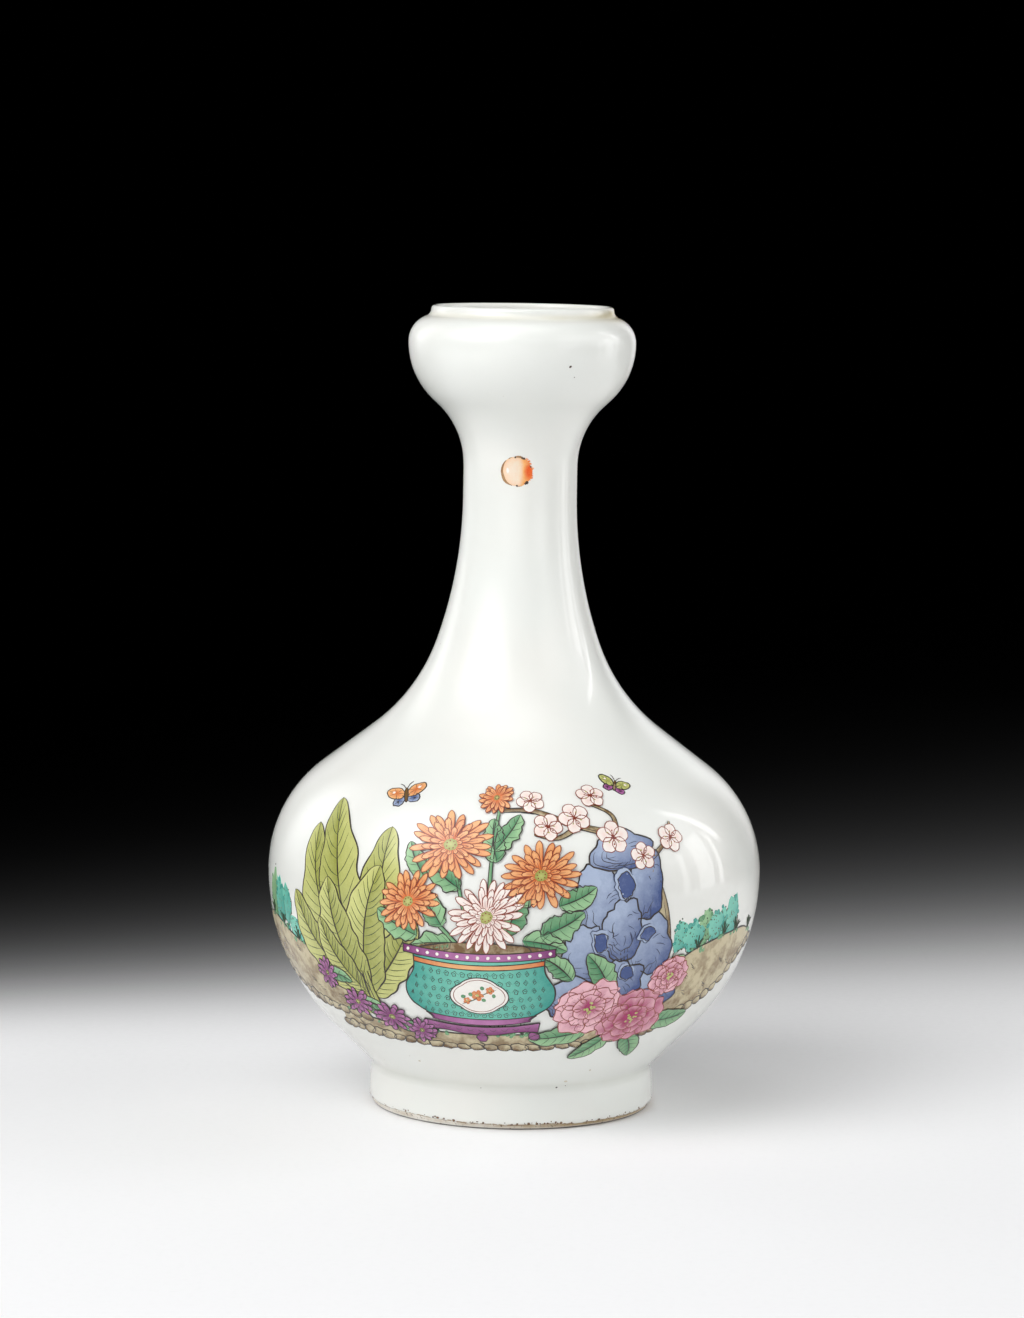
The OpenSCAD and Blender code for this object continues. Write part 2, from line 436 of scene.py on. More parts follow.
def running_lengths(points: Sequence[Vector]) -> list[float]:
    """How far along a line of points each of them lies.

    Args:
        points: the line.

    Returns:
        The lengths from the first point, which has 0.
    """
    lengths = [0.0]
    for a, b in zip(points, points[1:]):
        lengths.append(lengths[-1] + (b - a).length)
    return lengths


def turned_loop(node: bpy.types.Object) -> list[Vector]:
    """Cross-section of a turned CAD node, as the ring of its points (radius, height).

    Args:
        node: a node whose mesh is a body turned about the Z axis.

    Returns:
        The points in order, in millimetres. A section that meets the axis starts and ends there.
    """
    digits = 4
    mesh = node.data
    keys = [(round(v.co.xy.length / MM, digits), round(v.co.z / MM, digits)) for v in mesh.vertices]
    links: dict[tuple, set] = {}
    for edge in mesh.edges:
        a, b = (keys[i] for i in edge.vertices)
        if a != b:
            links.setdefault(a, set()).add(b)
            links.setdefault(b, set()).add(a)
    ends = sorted(key for key, near in links.items() if len(near) == 1)
    here = ends[0] if ends else min(links, key=lambda k: (k[1], k[0]))
    loop = [here]
    seen = {here}
    while True:
        ahead = sorted(key for key in links[here] if key not in seen)
        if not ahead:
            return [Vector(point) for point in loop]
        here = ahead[-1]
        seen.add(here)
        loop.append(here)


@dataclass
class VaseSurface:
    """The glazed outside as one smooth surface, which the coats and the painting follow.

    A place on it is a turn in radians and a length along the outline from the foot, in millimetres.
    """

    outline: list[Vector]
    step_mm: float = 0.25
    soften_mm: float = 1.1
    crease_soften_mm: float = 1.5
    crease_mm: tuple[float, float] = (8.5, 19.0)
    sharp_from_mm: float = 9.0
    uneven_mm: float = 0.05
    bevel_slope: float = 0.0
    edge_wave_mm: float = 0.28
    edge_tilt_mm: float = 0.25
    lengths: list[float] = field(default_factory=list)

    @classmethod
    def of_nodes(
        cls, node: bpy.types.Object, foot: bpy.types.Object, wrap_mm: float = 0.5
    ) -> "VaseSurface":
        """Read the outside of the outer coat's cross-section, and lead it on over the foot's bevel.

        Args:
            node: the CAD node of the outer coat.
            foot: the CAD node of the foot ring.
            wrap_mm: how far down the bevel the glaze runs.

        Returns:
            The surface.
        """
        level_mm = 0.01
        corner_mm = 0.2
        loop = turned_loop(node)
        count = len(loop)
        top = max(range(count), key=lambda i: (loop[i].y, loop[i].x))
        start = max((i for i in range(count) if loop[i].y < loop[0].y + level_mm), key=lambda i: loop[i].x)
        ways = []
        for sign in (1, -1):
            way = [loop[start]]
            i = start
            while i != top:
                i = (i + sign) % count
                way.append(loop[i])
            ways.append(way)
        middle = loop[top].y / 2
        outer = max(ways, key=lambda way: max(p.x for p in way if abs(p.y - middle) < middle / 2))
        ring = turned_loop(foot)
        low = outer[0]
        rim = max(p.x for p in ring if p.y < level_mm)
        corner = max(p.x for p in ring if abs(p.y - low.y) < corner_mm)
        slope = (corner - rim) / low.y
        wrapped = Vector((low.x - slope * wrap_mm, low.y - wrap_mm))
        return cls([wrapped] + outer, bevel_slope=slope)

    def __post_init__(self) -> None:
        """Resample the outline evenly, and soften its chords and creases below the collar."""
        dense = resampled(self.outline, self.step_mm)
        top = dense[-1].y
        smooth = list(dense)
        for i, point in enumerate(dense):
            in_crease = self.crease_mm[0] < point.y < self.crease_mm[1]
            reach = round((self.crease_soften_mm if in_crease else self.soften_mm) / self.step_mm)
            span = min(reach, i, len(dense) - 1 - i)
            if span and point.y < top - self.sharp_from_mm:
                near = dense[i - span:i + span + 1]
                smooth[i] = sum(near, Vector((0, 0))) / len(near)
        self.outline = smooth
        self.lengths = running_lengths(smooth)

    def at(self, length: float) -> tuple[Vector, Vector]:
        """Point and outward normal of the outline.

        Args:
            length: length along the outline.

        Returns:
            The point (radius, height) and the unit normal.
        """
        spot = clamped(length / self.lengths[-1]) * (len(self.outline) - 1)
        i = min(int(spot), len(self.outline) - 2)
        low, high = self.outline[max(i - 1, 0)], self.outline[min(i + 2, len(self.outline) - 1)]
        along = (high - low).normalized()
        return self.outline[i].lerp(self.outline[i + 1], spot - i), Vector((along.y, -along.x))

    def length_at(self, height: float) -> float:
        """Length along the outline at which it reaches a height."""
        i = next(i for i, p in enumerate(self.outline) if p.y >= height or i == len(self.outline) - 1)
        return self.lengths[i]

    def swell(self, turn: float, height: float) -> float:
        """How far the hand-thrown wall stands out from a true circle, in millimetres."""
        wave = math.sin(2 * turn + height * 0.021) + 0.6 * math.sin(3 * turn - height * 0.034 + 1.1)
        return self.uneven_mm * wave * (0.6 + 0.4 * math.sin(height * 0.05))

    def edge_shift(self, turn: float) -> float:
        """How far the hand-wiped lower edge of the glaze lies above its mean height, in millimetres."""
        wave = noise.noise(Vector((math.sin(turn), math.cos(turn), 0.3)) * 5)
        return self.edge_wave_mm * wave - self.edge_tilt_mm * math.sin(turn)

    def point(self, turn: float, length: float, lift: float = 0.0) -> Vector:
        """Point above the surface, in metres.

        Args:
            turn: angle round the axis.
            length: length along the outline.
            lift: height above the glaze in millimetres.

        Returns:
            The point in the frame.
        """
        spot, normal = self.at(length)
        radius = spot.x + lift * normal.x + self.swell(turn, spot.y)
        height = spot.y + lift * normal.y
        return Vector((radius * math.sin(turn), -radius * math.cos(turn), height)) * MM


def resampled(points: Sequence[Vector], step: float) -> list[Vector]:
    """Points at even steps along a line of points.

    Args:
        points: the line.
        step: about how far apart the new points lie.

    Returns:
        The new points, with the line's own ends.
    """
    lengths = running_lengths(points)
    count = max(2, round(lengths[-1] / step))
    result = []
    i = 0
    for k in range(count + 1):
        target = lengths[-1] * k / count
        while i < len(points) - 2 and lengths[i + 1] < target:
            i += 1
        gap = lengths[i + 1] - lengths[i]
        result.append(points[i].lerp(points[i + 1], (target - lengths[i]) / gap if gap else 0))
    return result


def spun(section: Sequence[Vector], segments: int, closed: bool) -> bmesh.types.BMesh:
    """Turn a cross-section about the axis.

    Args:
        section: points (radius, height) in millimetres.
        segments: steps round the axis.
        closed: True to join the last point to the first.

    Returns:
        The turned mesh, in metres, with its normals outwards.
    """
    mesh = bmesh.new()
    points = [mesh.verts.new((0, -p.x * MM, p.y * MM)) for p in section]
    pairs = list(zip(points, points[1:]))
    if closed:
        pairs.append((points[-1], points[0]))
    edges = [mesh.edges.new(pair) for pair in pairs]
    bmesh.ops.spin(
        mesh,
        geom=points + edges,
        cent=(0, 0, 0),
        axis=(0, 0, 1),
        angle=2 * math.pi,
        steps=segments,
        use_merge=True,
    )
    bmesh.ops.remove_doubles(mesh, verts=mesh.verts[:], dist=1e-7)
    bmesh.ops.dissolve_degenerate(mesh, edges=mesh.edges[:], dist=1e-8)
    bmesh.ops.recalc_face_normals(mesh, faces=mesh.faces[:])
    return mesh


def turn_of(point: Vector) -> float:
    """Turn of a point round the axis, from the front."""
    return math.atan2(point.x, -point.y)


def placed(name: str, data: bpy.types.ID) -> bpy.types.Object:
    """Make an object and put it in the scene.

    Args:
        name: name of the object.
        data: its mesh, light or camera.

    Returns:
        The object.
    """
    made = bpy.data.objects.new(name, data)
    bpy.context.scene.collection.objects.link(made)
    return made


def mesh_object(name: str, mesh: bmesh.types.BMesh, material: bpy.types.Material) -> bpy.types.Object:
    """Make an object of a mesh and dress it.

    Args:
        name: name of the object.
        mesh: its mesh, which is freed.
        material: its material.

    Returns:
        The object.
    """
    data = bpy.data.meshes.new(name)
    mesh.to_mesh(data)
    mesh.free()
    data.materials.append(material)
    return placed(name, data)


def finished(
    name: str, mesh: bmesh.types.BMesh, material: bpy.types.Material, slot: str
) -> bpy.types.Object:
    """Make a piece of a mesh, with smooth faces and crisp corners, and let it ride on the vase.

    Args:
        name: name of the piece.
        mesh: its mesh, which is freed.
        material: its material.
        slot: the record's material slot; not used.

    Returns:
        The object.
    """
    sharp = math.radians(38)
    for edge in mesh.edges:
        edge.smooth = len(edge.link_faces) == 2 and edge.calc_face_angle(0) < sharp
    for face in mesh.faces:
        face.smooth = True
    piece = mesh_object(name, mesh, material)
    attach(piece, "root")
    LOG.info("%s: %d faces", name, len(piece.data.polygons))
    return piece


@dataclass
class Coats:
    """The three glaze coats: over the outside, down the inside and on the recessed base."""

    surface: VaseSurface
    nodes: dict[str, bpy.types.Object]
    segments: int = 168
    ring_mm: float = 1.2
    fine_ring_mm: float = 0.3
    hidden_ring_mm: float = 2.4
    hidden_end_mm: float = 1.0
    foot_bend_mm: float = 25.0
    coat_mm: float = 0.26
    edge_round_mm: float = 0.45
    edge_angles_deg: tuple[float, ...] = (0, 22, 45, 68, 90)
    edge_clear: float = 1.2
    edge_reach_mm: float = 2.2
    thin_mm: float = 0.75
    # The crease band above the foot, greyer with the thick glaze's tint and painted shade.
    pool_shade_mm: float = 1.3
    pool_shade_depth: float = 0.6
    collar_mm: float = 7.5
    groove_mm: float = 2.4
    stain_mm: float = 0.9
    stain_depth: float = 0.22
    dirt_turn: float = math.radians(80)
    dirt_spread: float = math.radians(34)
    dirt_depth: float = 0.6
    dirt_rise_mm: float = 0.4
    dirt_growth: float = 0.7

    def build(self) -> None:
        """Make the coats."""
        finish = GlazeFinish("white_glaze").material()
        self.outer(finish)
        self.plain("inner_glaze", finish)
        self.plain("base_glaze", finish)

    def outer(self, finish: bpy.types.Material) -> None:
        """Make the outer coat, with a hand-wiped lower edge and dirt in the groove under the collar.

        Args:
            finish: the glaze.
        """
        outside = resampled(self.surface.outline, self.ring_mm)
        crest = outside[-1].y
        collar = crest - self.collar_mm
        low = [p for p in outside if p.y < collar]
        high = [p for p in resampled(self.surface.outline, self.fine_ring_mm) if p.y >= collar]
        section = self.rounded_edge(low) + high
        mesh = spun(section + self.inner_side(crest), self.segments, True)
        self.thin_pool_and_shade(mesh, crest)
        piece = finished("outer_glaze_coat", mesh, finish, "white_glaze")
        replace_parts(piece, "outer_glaze")

    def inner_side(self, crest: float) -> list[Vector]:
        """The coat's hidden side, from the crest down, with closer points in the bends at both ends.

        Args:
            crest: height of the lip in millimetres.

        Returns:
            The points (radius, height) in millimetres.
        """
        points = []
        length = self.surface.lengths[-1]
        while length > self.hidden_end_mm:
            spot, normal = self.surface.at(length)
            points.append(spot - self.coat_mm * normal)
            if spot.y > crest - self.collar_mm:
                length -= self.fine_ring_mm
            elif spot.y < self.foot_bend_mm:
                length -= self.ring_mm
            else:
                length -= self.hidden_ring_mm
        return points

    def rounded_edge(self, outside: list[Vector]) -> list[Vector]:
        """Round the coat's lower edge in to the clay.

        Args:
            outside: the coat's outside from its lower edge up, as points (radius, height) in millimetres.

        Returns:
            The outside with its edge rounded.
        """
        edge = outside[0]
        size = self.edge_round_mm
        turn_in = []
        for angle in map(math.radians, self.edge_angles_deg):
            up = size * (1 - math.cos(angle))
            sunk = self.coat_mm * (1 - math.sin(angle))
            turn_in.append(Vector((edge.x - sunk + self.surface.bevel_slope * up, edge.y + up)))
        return turn_in + [p for p in outside if p.y > edge.y + size * self.edge_clear]

    def thin_pool_and_shade(self, mesh: bmesh.types.BMesh, crest: float) -> None:
        """Make the coat uneven, wave its lower edge, and store where it is thin, where it is thick and takes
        painted shade in the crease above the foot, and where it is dirty.

        Args:
            mesh: the turned coat.
            crest: height of the lip in millimetres.
        """
        thin = mesh.verts.layers.float.new("thin")
        pool_and_shade = mesh.verts.layers.float.new("pool_and_shade")
        stain = mesh.verts.layers.float.new("stain")
        foot_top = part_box("foot_luting")[1].z / MM
        groove = crest - self.groove_mm
        edge = self.surface.outline[0].y
        for vert in mesh.verts:
            turn = turn_of(vert.co)
            radius, height = vert.co.xy.length / MM, vert.co.z / MM
            near_edge = max(0.0, 1 - (height - edge) / self.edge_reach_mm)
            vert[thin] = max(0.0, 1 - max(0.0, height - edge) / self.thin_mm)
            dirty = math.exp(-(((turn - self.dirt_turn) / self.dirt_spread) ** 2))
            away = height - groove - self.dirt_rise_mm * dirty
            away /= self.stain_mm * (1 + self.dirt_growth * dirty)
            vert[stain] = (self.stain_depth + self.dirt_depth * dirty) * math.exp(-(away ** 2))
            # Painted shade in the crease above the foot, with the thick glaze's tint.
            vert[pool_and_shade] = self.pool_shade_depth * math.exp(-(((height - foot_top) / self.pool_shade_mm) ** 2))
            shift = self.surface.edge_shift(turn) * near_edge
            height += shift
            radius += self.surface.bevel_slope * shift * max(0.0, 1 - (height - edge) / self.edge_round_mm)
            radius += self.surface.swell(turn, height)
            vert.co = Vector((radius * math.sin(turn), -radius * math.cos(turn), height)) * MM

    def plain(self, node: str, finish: bpy.types.Material) -> None:
        """Make a coat that follows its CAD node's own cross-section.

        Args:
            node: name of the CAD node.
            finish: the glaze.
        """
        loop = turned_loop(self.nodes[node])
        on_axis = loop[0].x < 1e-3
        mesh = spun(loop, self.segments, not on_axis)
        for name in ("thin", "pool_and_shade", "stain"):
            mesh.verts.layers.float.new(name)
        piece = finished(node + "_coat", mesh, finish, "white_glaze")
        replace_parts(piece, node)


@dataclass
class Foot:
    """The turned foot ring, bare on its rim and bevels."""

    nodes: dict[str, bpy.types.Object]
    segments: int = 168
    corner_mm: float = 0.35
    corner_steps: int = 3
    rim_mm: float = 2.0
    slack_mm: float = 0.001

    def on_rim(self, edge: bmesh.types.BMEdge) -> bool:
        """Tell whether an edge runs round the ring at a corner of its rim.

        Args:
            edge: an edge of the ring.

        Returns:
            True for a level edge of one radius near the ground.
        """
        a, b = (vert.co for vert in edge.verts)
        level = abs(a.z - b.z) < self.slack_mm * MM
        circling = abs(a.xy.length - b.xy.length) < self.slack_mm * MM
        return level and circling and max(a.z, b.z) < self.rim_mm * MM

    def build(self) -> None:
        """Make the ring with softened corners."""
        loop = turned_loop(self.nodes["foot_ring"])
        mesh = spun(loop, self.segments, True)
        bmesh.ops.bevel(
            mesh,
            geom=[edge for edge in mesh.edges if self.on_rim(edge)],
            affect="EDGES",
            offset=self.corner_mm * MM,
            segments=self.corner_steps,
            profile=0.5,
            material=-1,
        )
        piece = finished("bare_foot_ring", mesh, BiscuitFinish("foot_biscuit").material(), "porcelain")
        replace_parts(piece, "foot_ring")


class Paint(Enum):
    """The enamels and the brush inks of the painting."""

    YELLOW_GREEN = "yellow_green_enamel"
    GREEN = "green_enamel"
    TURQUOISE = "turquoise_enamel"
    BLUE = "blue_enamel"
    PURPLE = "purple_enamel"
    PINK = "pink_enamel"
    RED = "red_enamel"
    WHITE = "white_enamel"
    BROWN = "brown_enamel"
    INK = "outline_ink"
    RED_LINE = "red_line"
    GREEN_LINE = "green_line"
    BLUE_LINE = "blue_line"
    DISC = "disc"
    IRON = "iron"
    STAIN = "stain"
    RUST = "rust"


@dataclass(frozen=True)
class EnamelFinish:
    """Overglaze enamel: glassy, thicker and deeper in places, with the drag of the brush.

    The mesh stores shade, from 0 for the pale wash to 1 for the full colour, and tone, one number a patch.
    An enamel with a middle colour turns to it half-way.
    """

    slot: str
    pale: Colour
    deep: Colour
    roughness: float = 0.16
    drag: float = 0.5
    mottle: float = 0.0
    middle: Colour | None = None

    def material(self, name: str) -> bpy.types.Material:
        """Make the material.

        Args:
            name: its name.

        Returns:
            The material.
        """
        graph = Graph.of_material(name)
        wash = graph.noise(2.4, 3, 0.6) - 0.5
        grain = graph.noise(0.45, 2) - 0.5
        tone = graph.attribute("tone") - 0.5
        depth = graph.attribute("shade") + self.drag * wash + 0.18 * grain + 0.22 * tone
        if self.mottle:
            depth = depth + self.mottle * (graph.ramp(graph.noise(5.5, 4, 0.65), 0.38, 0.64) - 0.5)
        if self.middle:
            thin = graph.mix((2 * depth).clamped(), self.pale, self.middle)
            colour = graph.mix((2 * depth - 1).clamped(), thin, self.deep)
        else:
            colour = graph.mix(depth.clamped(), self.pale, self.deep)
        return graph.shaded(
            Base_Color=colour,
            Roughness=self.roughness + 0.12 * graph.noise(1.6, 2),
            IOR=1.5,
            Normal=graph.bump(graph.noise(0.9, 2), 0.02),
        )


ENAMELS: dict[Paint, EnamelFinish] = {
    Paint.YELLOW_GREEN: EnamelFinish("yellow_green_enamel", (0.58, 0.59, 0.22, 1), (0.27, 0.29, 0.06, 1)),
    Paint.GREEN: EnamelFinish("green_enamel", (0.33, 0.56, 0.30, 1), (0.05, 0.22, 0.10, 1)),
    Paint.TURQUOISE: EnamelFinish("turquoise_enamel", (0.20, 0.60, 0.47, 1), (0.022, 0.28, 0.24, 1)),
    Paint.BLUE: EnamelFinish("blue_enamel", (0.40, 0.48, 0.64, 1), (0.050, 0.085, 0.24, 1)),
    Paint.PURPLE: EnamelFinish("purple_enamel", (0.52, 0.20, 0.44, 1), (0.17, 0.018, 0.13, 1)),
    Paint.PINK: EnamelFinish("pink_enamel", (0.87, 0.52, 0.58, 1), (0.36, 0.022, 0.12, 1)),
    Paint.RED: EnamelFinish("red_enamel", (0.86, 0.48, 0.22, 1), (0.62, 0.12, 0.022, 1)),
    Paint.WHITE: EnamelFinish("white_enamel", (0.90, 0.88, 0.83, 1), (0.86, 0.62, 0.56, 1), 0.12, 0.2),
    Paint.BROWN: EnamelFinish("brown_enamel", (0.58, 0.50, 0.32, 1), (0.17, 0.095, 0.036, 1), mottle=0.75),
    Paint.INK: EnamelFinish("outline_enamel", (0.045, 0.028, 0.020, 1), (0.014, 0.010, 0.009, 1), 0.3),
    Paint.RED_LINE: EnamelFinish("red_enamel", (0.34, 0.055, 0.016, 1), (0.17, 0.022, 0.010, 1), 0.3),
    Paint.GREEN_LINE: EnamelFinish("green_enamel", (0.035, 0.075, 0.018, 1), (0.012, 0.032, 0.012, 1), 0.3),
    Paint.BLUE_LINE: EnamelFinish("blue_enamel", (0.035, 0.05, 0.13, 1), (0.012, 0.016, 0.045, 1), 0.3),
    Paint.DISC: EnamelFinish("red_enamel", (0.87, 0.72, 0.57, 1), (0.80, 0.095, 0.008, 1), drag=0.25,
                             middle=(0.90, 0.44, 0.145, 1)),
    Paint.IRON: EnamelFinish("white_glaze", (0.20, 0.11, 0.055, 1), (0.024, 0.013, 0.008, 1), 0.35),
    Paint.STAIN: EnamelFinish("white_glaze", (0.74, 0.70, 0.58, 1), (0.42, 0.31, 0.19, 1), 0.12),
    Paint.RUST: EnamelFinish("red_enamel", (0.56, 0.34, 0.16, 1), (0.24, 0.11, 0.04, 1), 0.2),
}

Path = Callable[[float], Vector]
Shape = Callable[[float, float], Vector]
Shade = Callable[[float, float], float]
Spot = Callable[[float, float], tuple[Vector, float]]


def curve(*points: tuple[float, float]) -> Path:
    """Smooth line through points.

    Args:
        points: the points in order.

    Returns:
        The line, as a function from 0 to 1.
    """
    knots = [Vector(p) for p in points]
    last = len(knots) - 1

    def at(t: float) -> Vector:
        """Point at a share of the way."""
        spot = clamped(t) * last
        i = min(int(spot), last - 1)
        f = spot - i
        a, b, c, d = knots[max(i - 1, 0)], knots[i], knots[i + 1], knots[min(i + 2, last)]
        return b + 0.5 * f * (c - a + f * (2 * a - 5 * b + 4 * c - d + f * (3 * (b - c) + d - a)))

    return at


def across(path: Path, t: float) -> Vector:
    """Direction across a line.

    Args:
        path: the line.
        t: share of the way along it.

    Returns:
        The unit vector to the line's left.
    """
    step = 0.02
    along = path(min(t + step, 1)) - path(max(t - step, 0))
    along = along.normalized() if along.length > 1e-9 else Vector((0, 1))
    return Vector((-along.y, along.x))


def length_of(path: Path, steps: int) -> float:
    """Length of a line, measured in a number of steps."""
    return sum((path((i + 1) / steps) - path(i / steps)).length for i in range(steps))


def between(first: Path, second: Path) -> Shape:
    """Shape spanned between two lines."""
    return lambda u, v: first(u).lerp(second(u), v)


def blob(
    centre: Sequence[float],
    radii: tuple[float, float],
    tilt: float = 0.0,
    rough: float = 0.0,
    seed: float = 0.0,
) -> Shape:
    """Round shape with a wavy edge, from its centre (u = 0) out.

    Args:
        centre: its middle.
        radii: half its width and half its height.
        tilt: turn in degrees.
        rough: size of the waves as a share of the radius.
        seed: picks the waves.

    Returns:
        The shape, with v going once round it.
    """
    c, s = math.cos(math.radians(tilt)), math.sin(math.radians(tilt))

    def shape(u: float, v: float) -> Vector:
        """Point of the shape."""
        a = 2 * math.pi * (v % 1.0)
        ring = Vector((math.cos(a), math.sin(a), seed))
        reach = u * (1 + rough * (noise.noise(ring * 1.3) + 0.6 * noise.noise(ring * 3.1)) * 1.4)
        x, y = radii[0] * reach * ring.x, radii[1] * reach * ring.y
        return Vector((centre[0] + x * c - y * s, centre[1] + x * s + y * c))

    return shape


def edge_of(shape: Shape, start: float = 0.0, end: float = 1.0) -> Path:
    """Stretch of a round shape's edge."""
    return streak(shape, (1.0, start), (1.0, end))


def streak(shape: Shape, start: tuple[float, float], end: tuple[float, float]) -> Path:
    """Line over a shape, from one place (u, v) on it to another."""
    return lambda t: shape(start[0] + (end[0] - start[0]) * t, start[1] + (end[1] - start[1]) * t)


def through(shape: Shape, *places: tuple[float, float]) -> Path:
    """Smooth line over a shape through several places (u, v)."""
    return curve(*(shape(u, v) for u, v in places))


@dataclass
class Place:
    """Where a motif lies: its own x goes round the vase to the viewer's right, and its y up the outline."""

    surface: VaseSurface
    turn_deg: float
    height_mm: float
    tilt_deg: float = 0.0
    size: float = 1.0

    def __post_init__(self) -> None:
        """Find the motif's origin on the outline."""
        self.start = self.surface.length_at(self.height_mm)
        tilt = math.radians(self.tilt_deg)
        self.across_x, self.across_y = math.cos(tilt) * self.size, math.sin(tilt) * self.size

    def wrap(self, spot: Vector, lift: float) -> Vector:
        """Lay a point of the motif on the vase.

        Args:
            spot: the point, in the motif's own millimetres.
            lift: height above the glaze in millimetres.

        Returns:
            The point in the frame.
        """
        x = spot.x * self.across_x - spot.y * self.across_y
        length = self.start + spot.x * self.across_y + spot.y * self.across_x
        radius = self.surface.at(length)[0].x
        return self.surface.point(math.radians(self.turn_deg) + x / radius, length, lift)


@dataclass
class Canvas:
    """Collects enamel patches and brush lines, in one mesh for each enamel and ink."""

    surface: VaseSurface
    name: str = "painting"
    lowest_mm: float = 0.07
    level_mm: float = 0.02
    line_rise_mm: float = 0.006
    edge_drop_mm: float = 0.012
    body_mm: float = 0.12
    cell_mm: float = 1.4
    dot_mm: float = 0.5
    line_cell_mm: float = 0.9
    line_cells: int = 40
    meshes: dict[Paint, bmesh.types.BMesh] = field(default_factory=dict)
    dice: random.Random = field(default_factory=lambda: random.Random(11))

    def mesh(self, paint: Paint) -> bmesh.types.BMesh:
        """The mesh of an enamel, started when it is first used.

        Args:
            paint: the enamel or ink.

        Returns:
            Its mesh.
        """
        if paint not in self.meshes:
            made = bmesh.new()
            made.verts.layers.float.new("shade")
            made.verts.layers.float.new("tone")
            self.meshes[paint] = made
        return self.meshes[paint]

    def lay(self, paint: Paint, cells: tuple[int, int], spot: Spot) -> None:
        """Lay one sheet of enamel.

        Args:
            paint: the enamel.
            cells: how finely it is divided along and across.
            spot: gives the place in the frame and the shade of each of its points.
        """
        mesh = self.mesh(paint)
        shade = mesh.verts.layers.float["shade"]
        tone = mesh.verts.layers.float["tone"]
        pitch = self.dice.random()
        verts = bmesh.ops.create_grid(mesh, x_segments=cells[0], y_segments=cells[1], size=0.5)["verts"]
        for vert in verts:
            vert.co, vert[shade] = spot(vert.co.x + 0.5, vert.co.y + 0.5)
            vert[tone] = pitch
        faces = list({face for vert in verts for face in vert.link_faces})
        for face in faces:
            face.normal_update()
        outwards = sum(face.normal.dot(face.calc_center_median() * Vector((1, 1, 0))) for face in faces)
        if outwards < 0:
            bmesh.ops.reverse_faces(mesh, faces=faces)
        bmesh.ops.remove_doubles(mesh, verts=verts, dist=1e-7)

    def patch(
        self, paint: Paint, place: Place, shape: Shape, level: float, shade: Shade, disc: bool = False
    ) -> None:
        """Lay a patch of enamel that drops a little at its edge.

        Args:
            paint: the enamel.
            place: where the motif lies.
            shape: the patch, in the motif's millimetres.
            level: how many layers lie under it.
            shade: depth of the colour over the patch.
            disc: True for a round shape, whose only edge is at u = 1.
        """
        tall = length_of(streak(shape, (0, 0.5), (1, 0.5)), 6) * place.size
        wide = max(length_of(streak(shape, (u, 0), (u, 1)), 8) for u in (0.5, 0.9)) * place.size
        if disc and tall < self.dot_mm:
            cells = (1, 6)
        else:
            few_tall, few_wide = (2, 8) if disc else (3, 3)
            along = max(few_tall, math.ceil(tall / self.cell_mm))
            cells = (along, max(few_wide, math.ceil(wide / self.cell_mm)))
        top = self.lowest_mm + self.level_mm * level

        def spot(u: float, v: float) -> tuple[Vector, float]:
            """Place and shade of one point."""
            inner = 1 - u if disc else min(u, 1 - u, v, 1 - v)
            lift = top - (self.edge_drop_mm if inner < 1e-4 else 0.0)
            return place.wrap(shape(u, v), lift), clamped(shade(u, v))

        self.lay(paint, cells, spot)

    def line(
        self, paint: Paint, place: Place, path: Path, width: float, level: float, taper: float = 0.3
    ) -> None:
        """Draw a brush line.

        Args:
            paint: the ink.
            place: where the motif lies.
            path: the line, in the motif's millimetres.
            width: its width in millimetres.
            level: how many layers lie under it.
            taper: share of the line over which each end is drawn out, or 0 for blunt ends.
        """
        length = length_of(path, 12) * place.size
        lift = self.lowest_mm + self.level_mm * level + self.line_rise_mm
        width = width / place.size
        hand = self.dice.uniform(0, 90)

        def spot(u: float, v: float) -> tuple[Vector, float]:
            """Place and shade of one point."""
            press = min(1.0, 0.25 + min(u, 1 - u) / taper) if taper else 1.0
            swell = 1 + 0.45 * noise.noise(Vector((u * length / 3.5, hand, 0)))
            aside = across(path, u) * (v - 0.5) * width * press * swell
            return place.wrap(path(u) + aside, lift), 1 - 0.6 * press * (0.4 + 0.6 * u)

        cells = max(2, min(self.line_cells, math.ceil(length / self.line_cell_mm)))
        self.lay(paint, (cells, 1), spot)

    def finish(self) -> dict[Paint, bpy.types.Object]:
        """Give every sheet its thickness and dress the pieces.

        Returns:
            The pieces by enamel or ink.
        """
        pieces = {}
        for paint, mesh in self.meshes.items():
            bmesh.ops.solidify(mesh, geom=mesh.faces[:], thickness=self.body_mm * MM)
            name = f"{self.name}_{paint.value}"
            pieces[paint] = finished(name, mesh, ENAMELS[paint].material(name), ENAMELS[paint].slot)
        return pieces


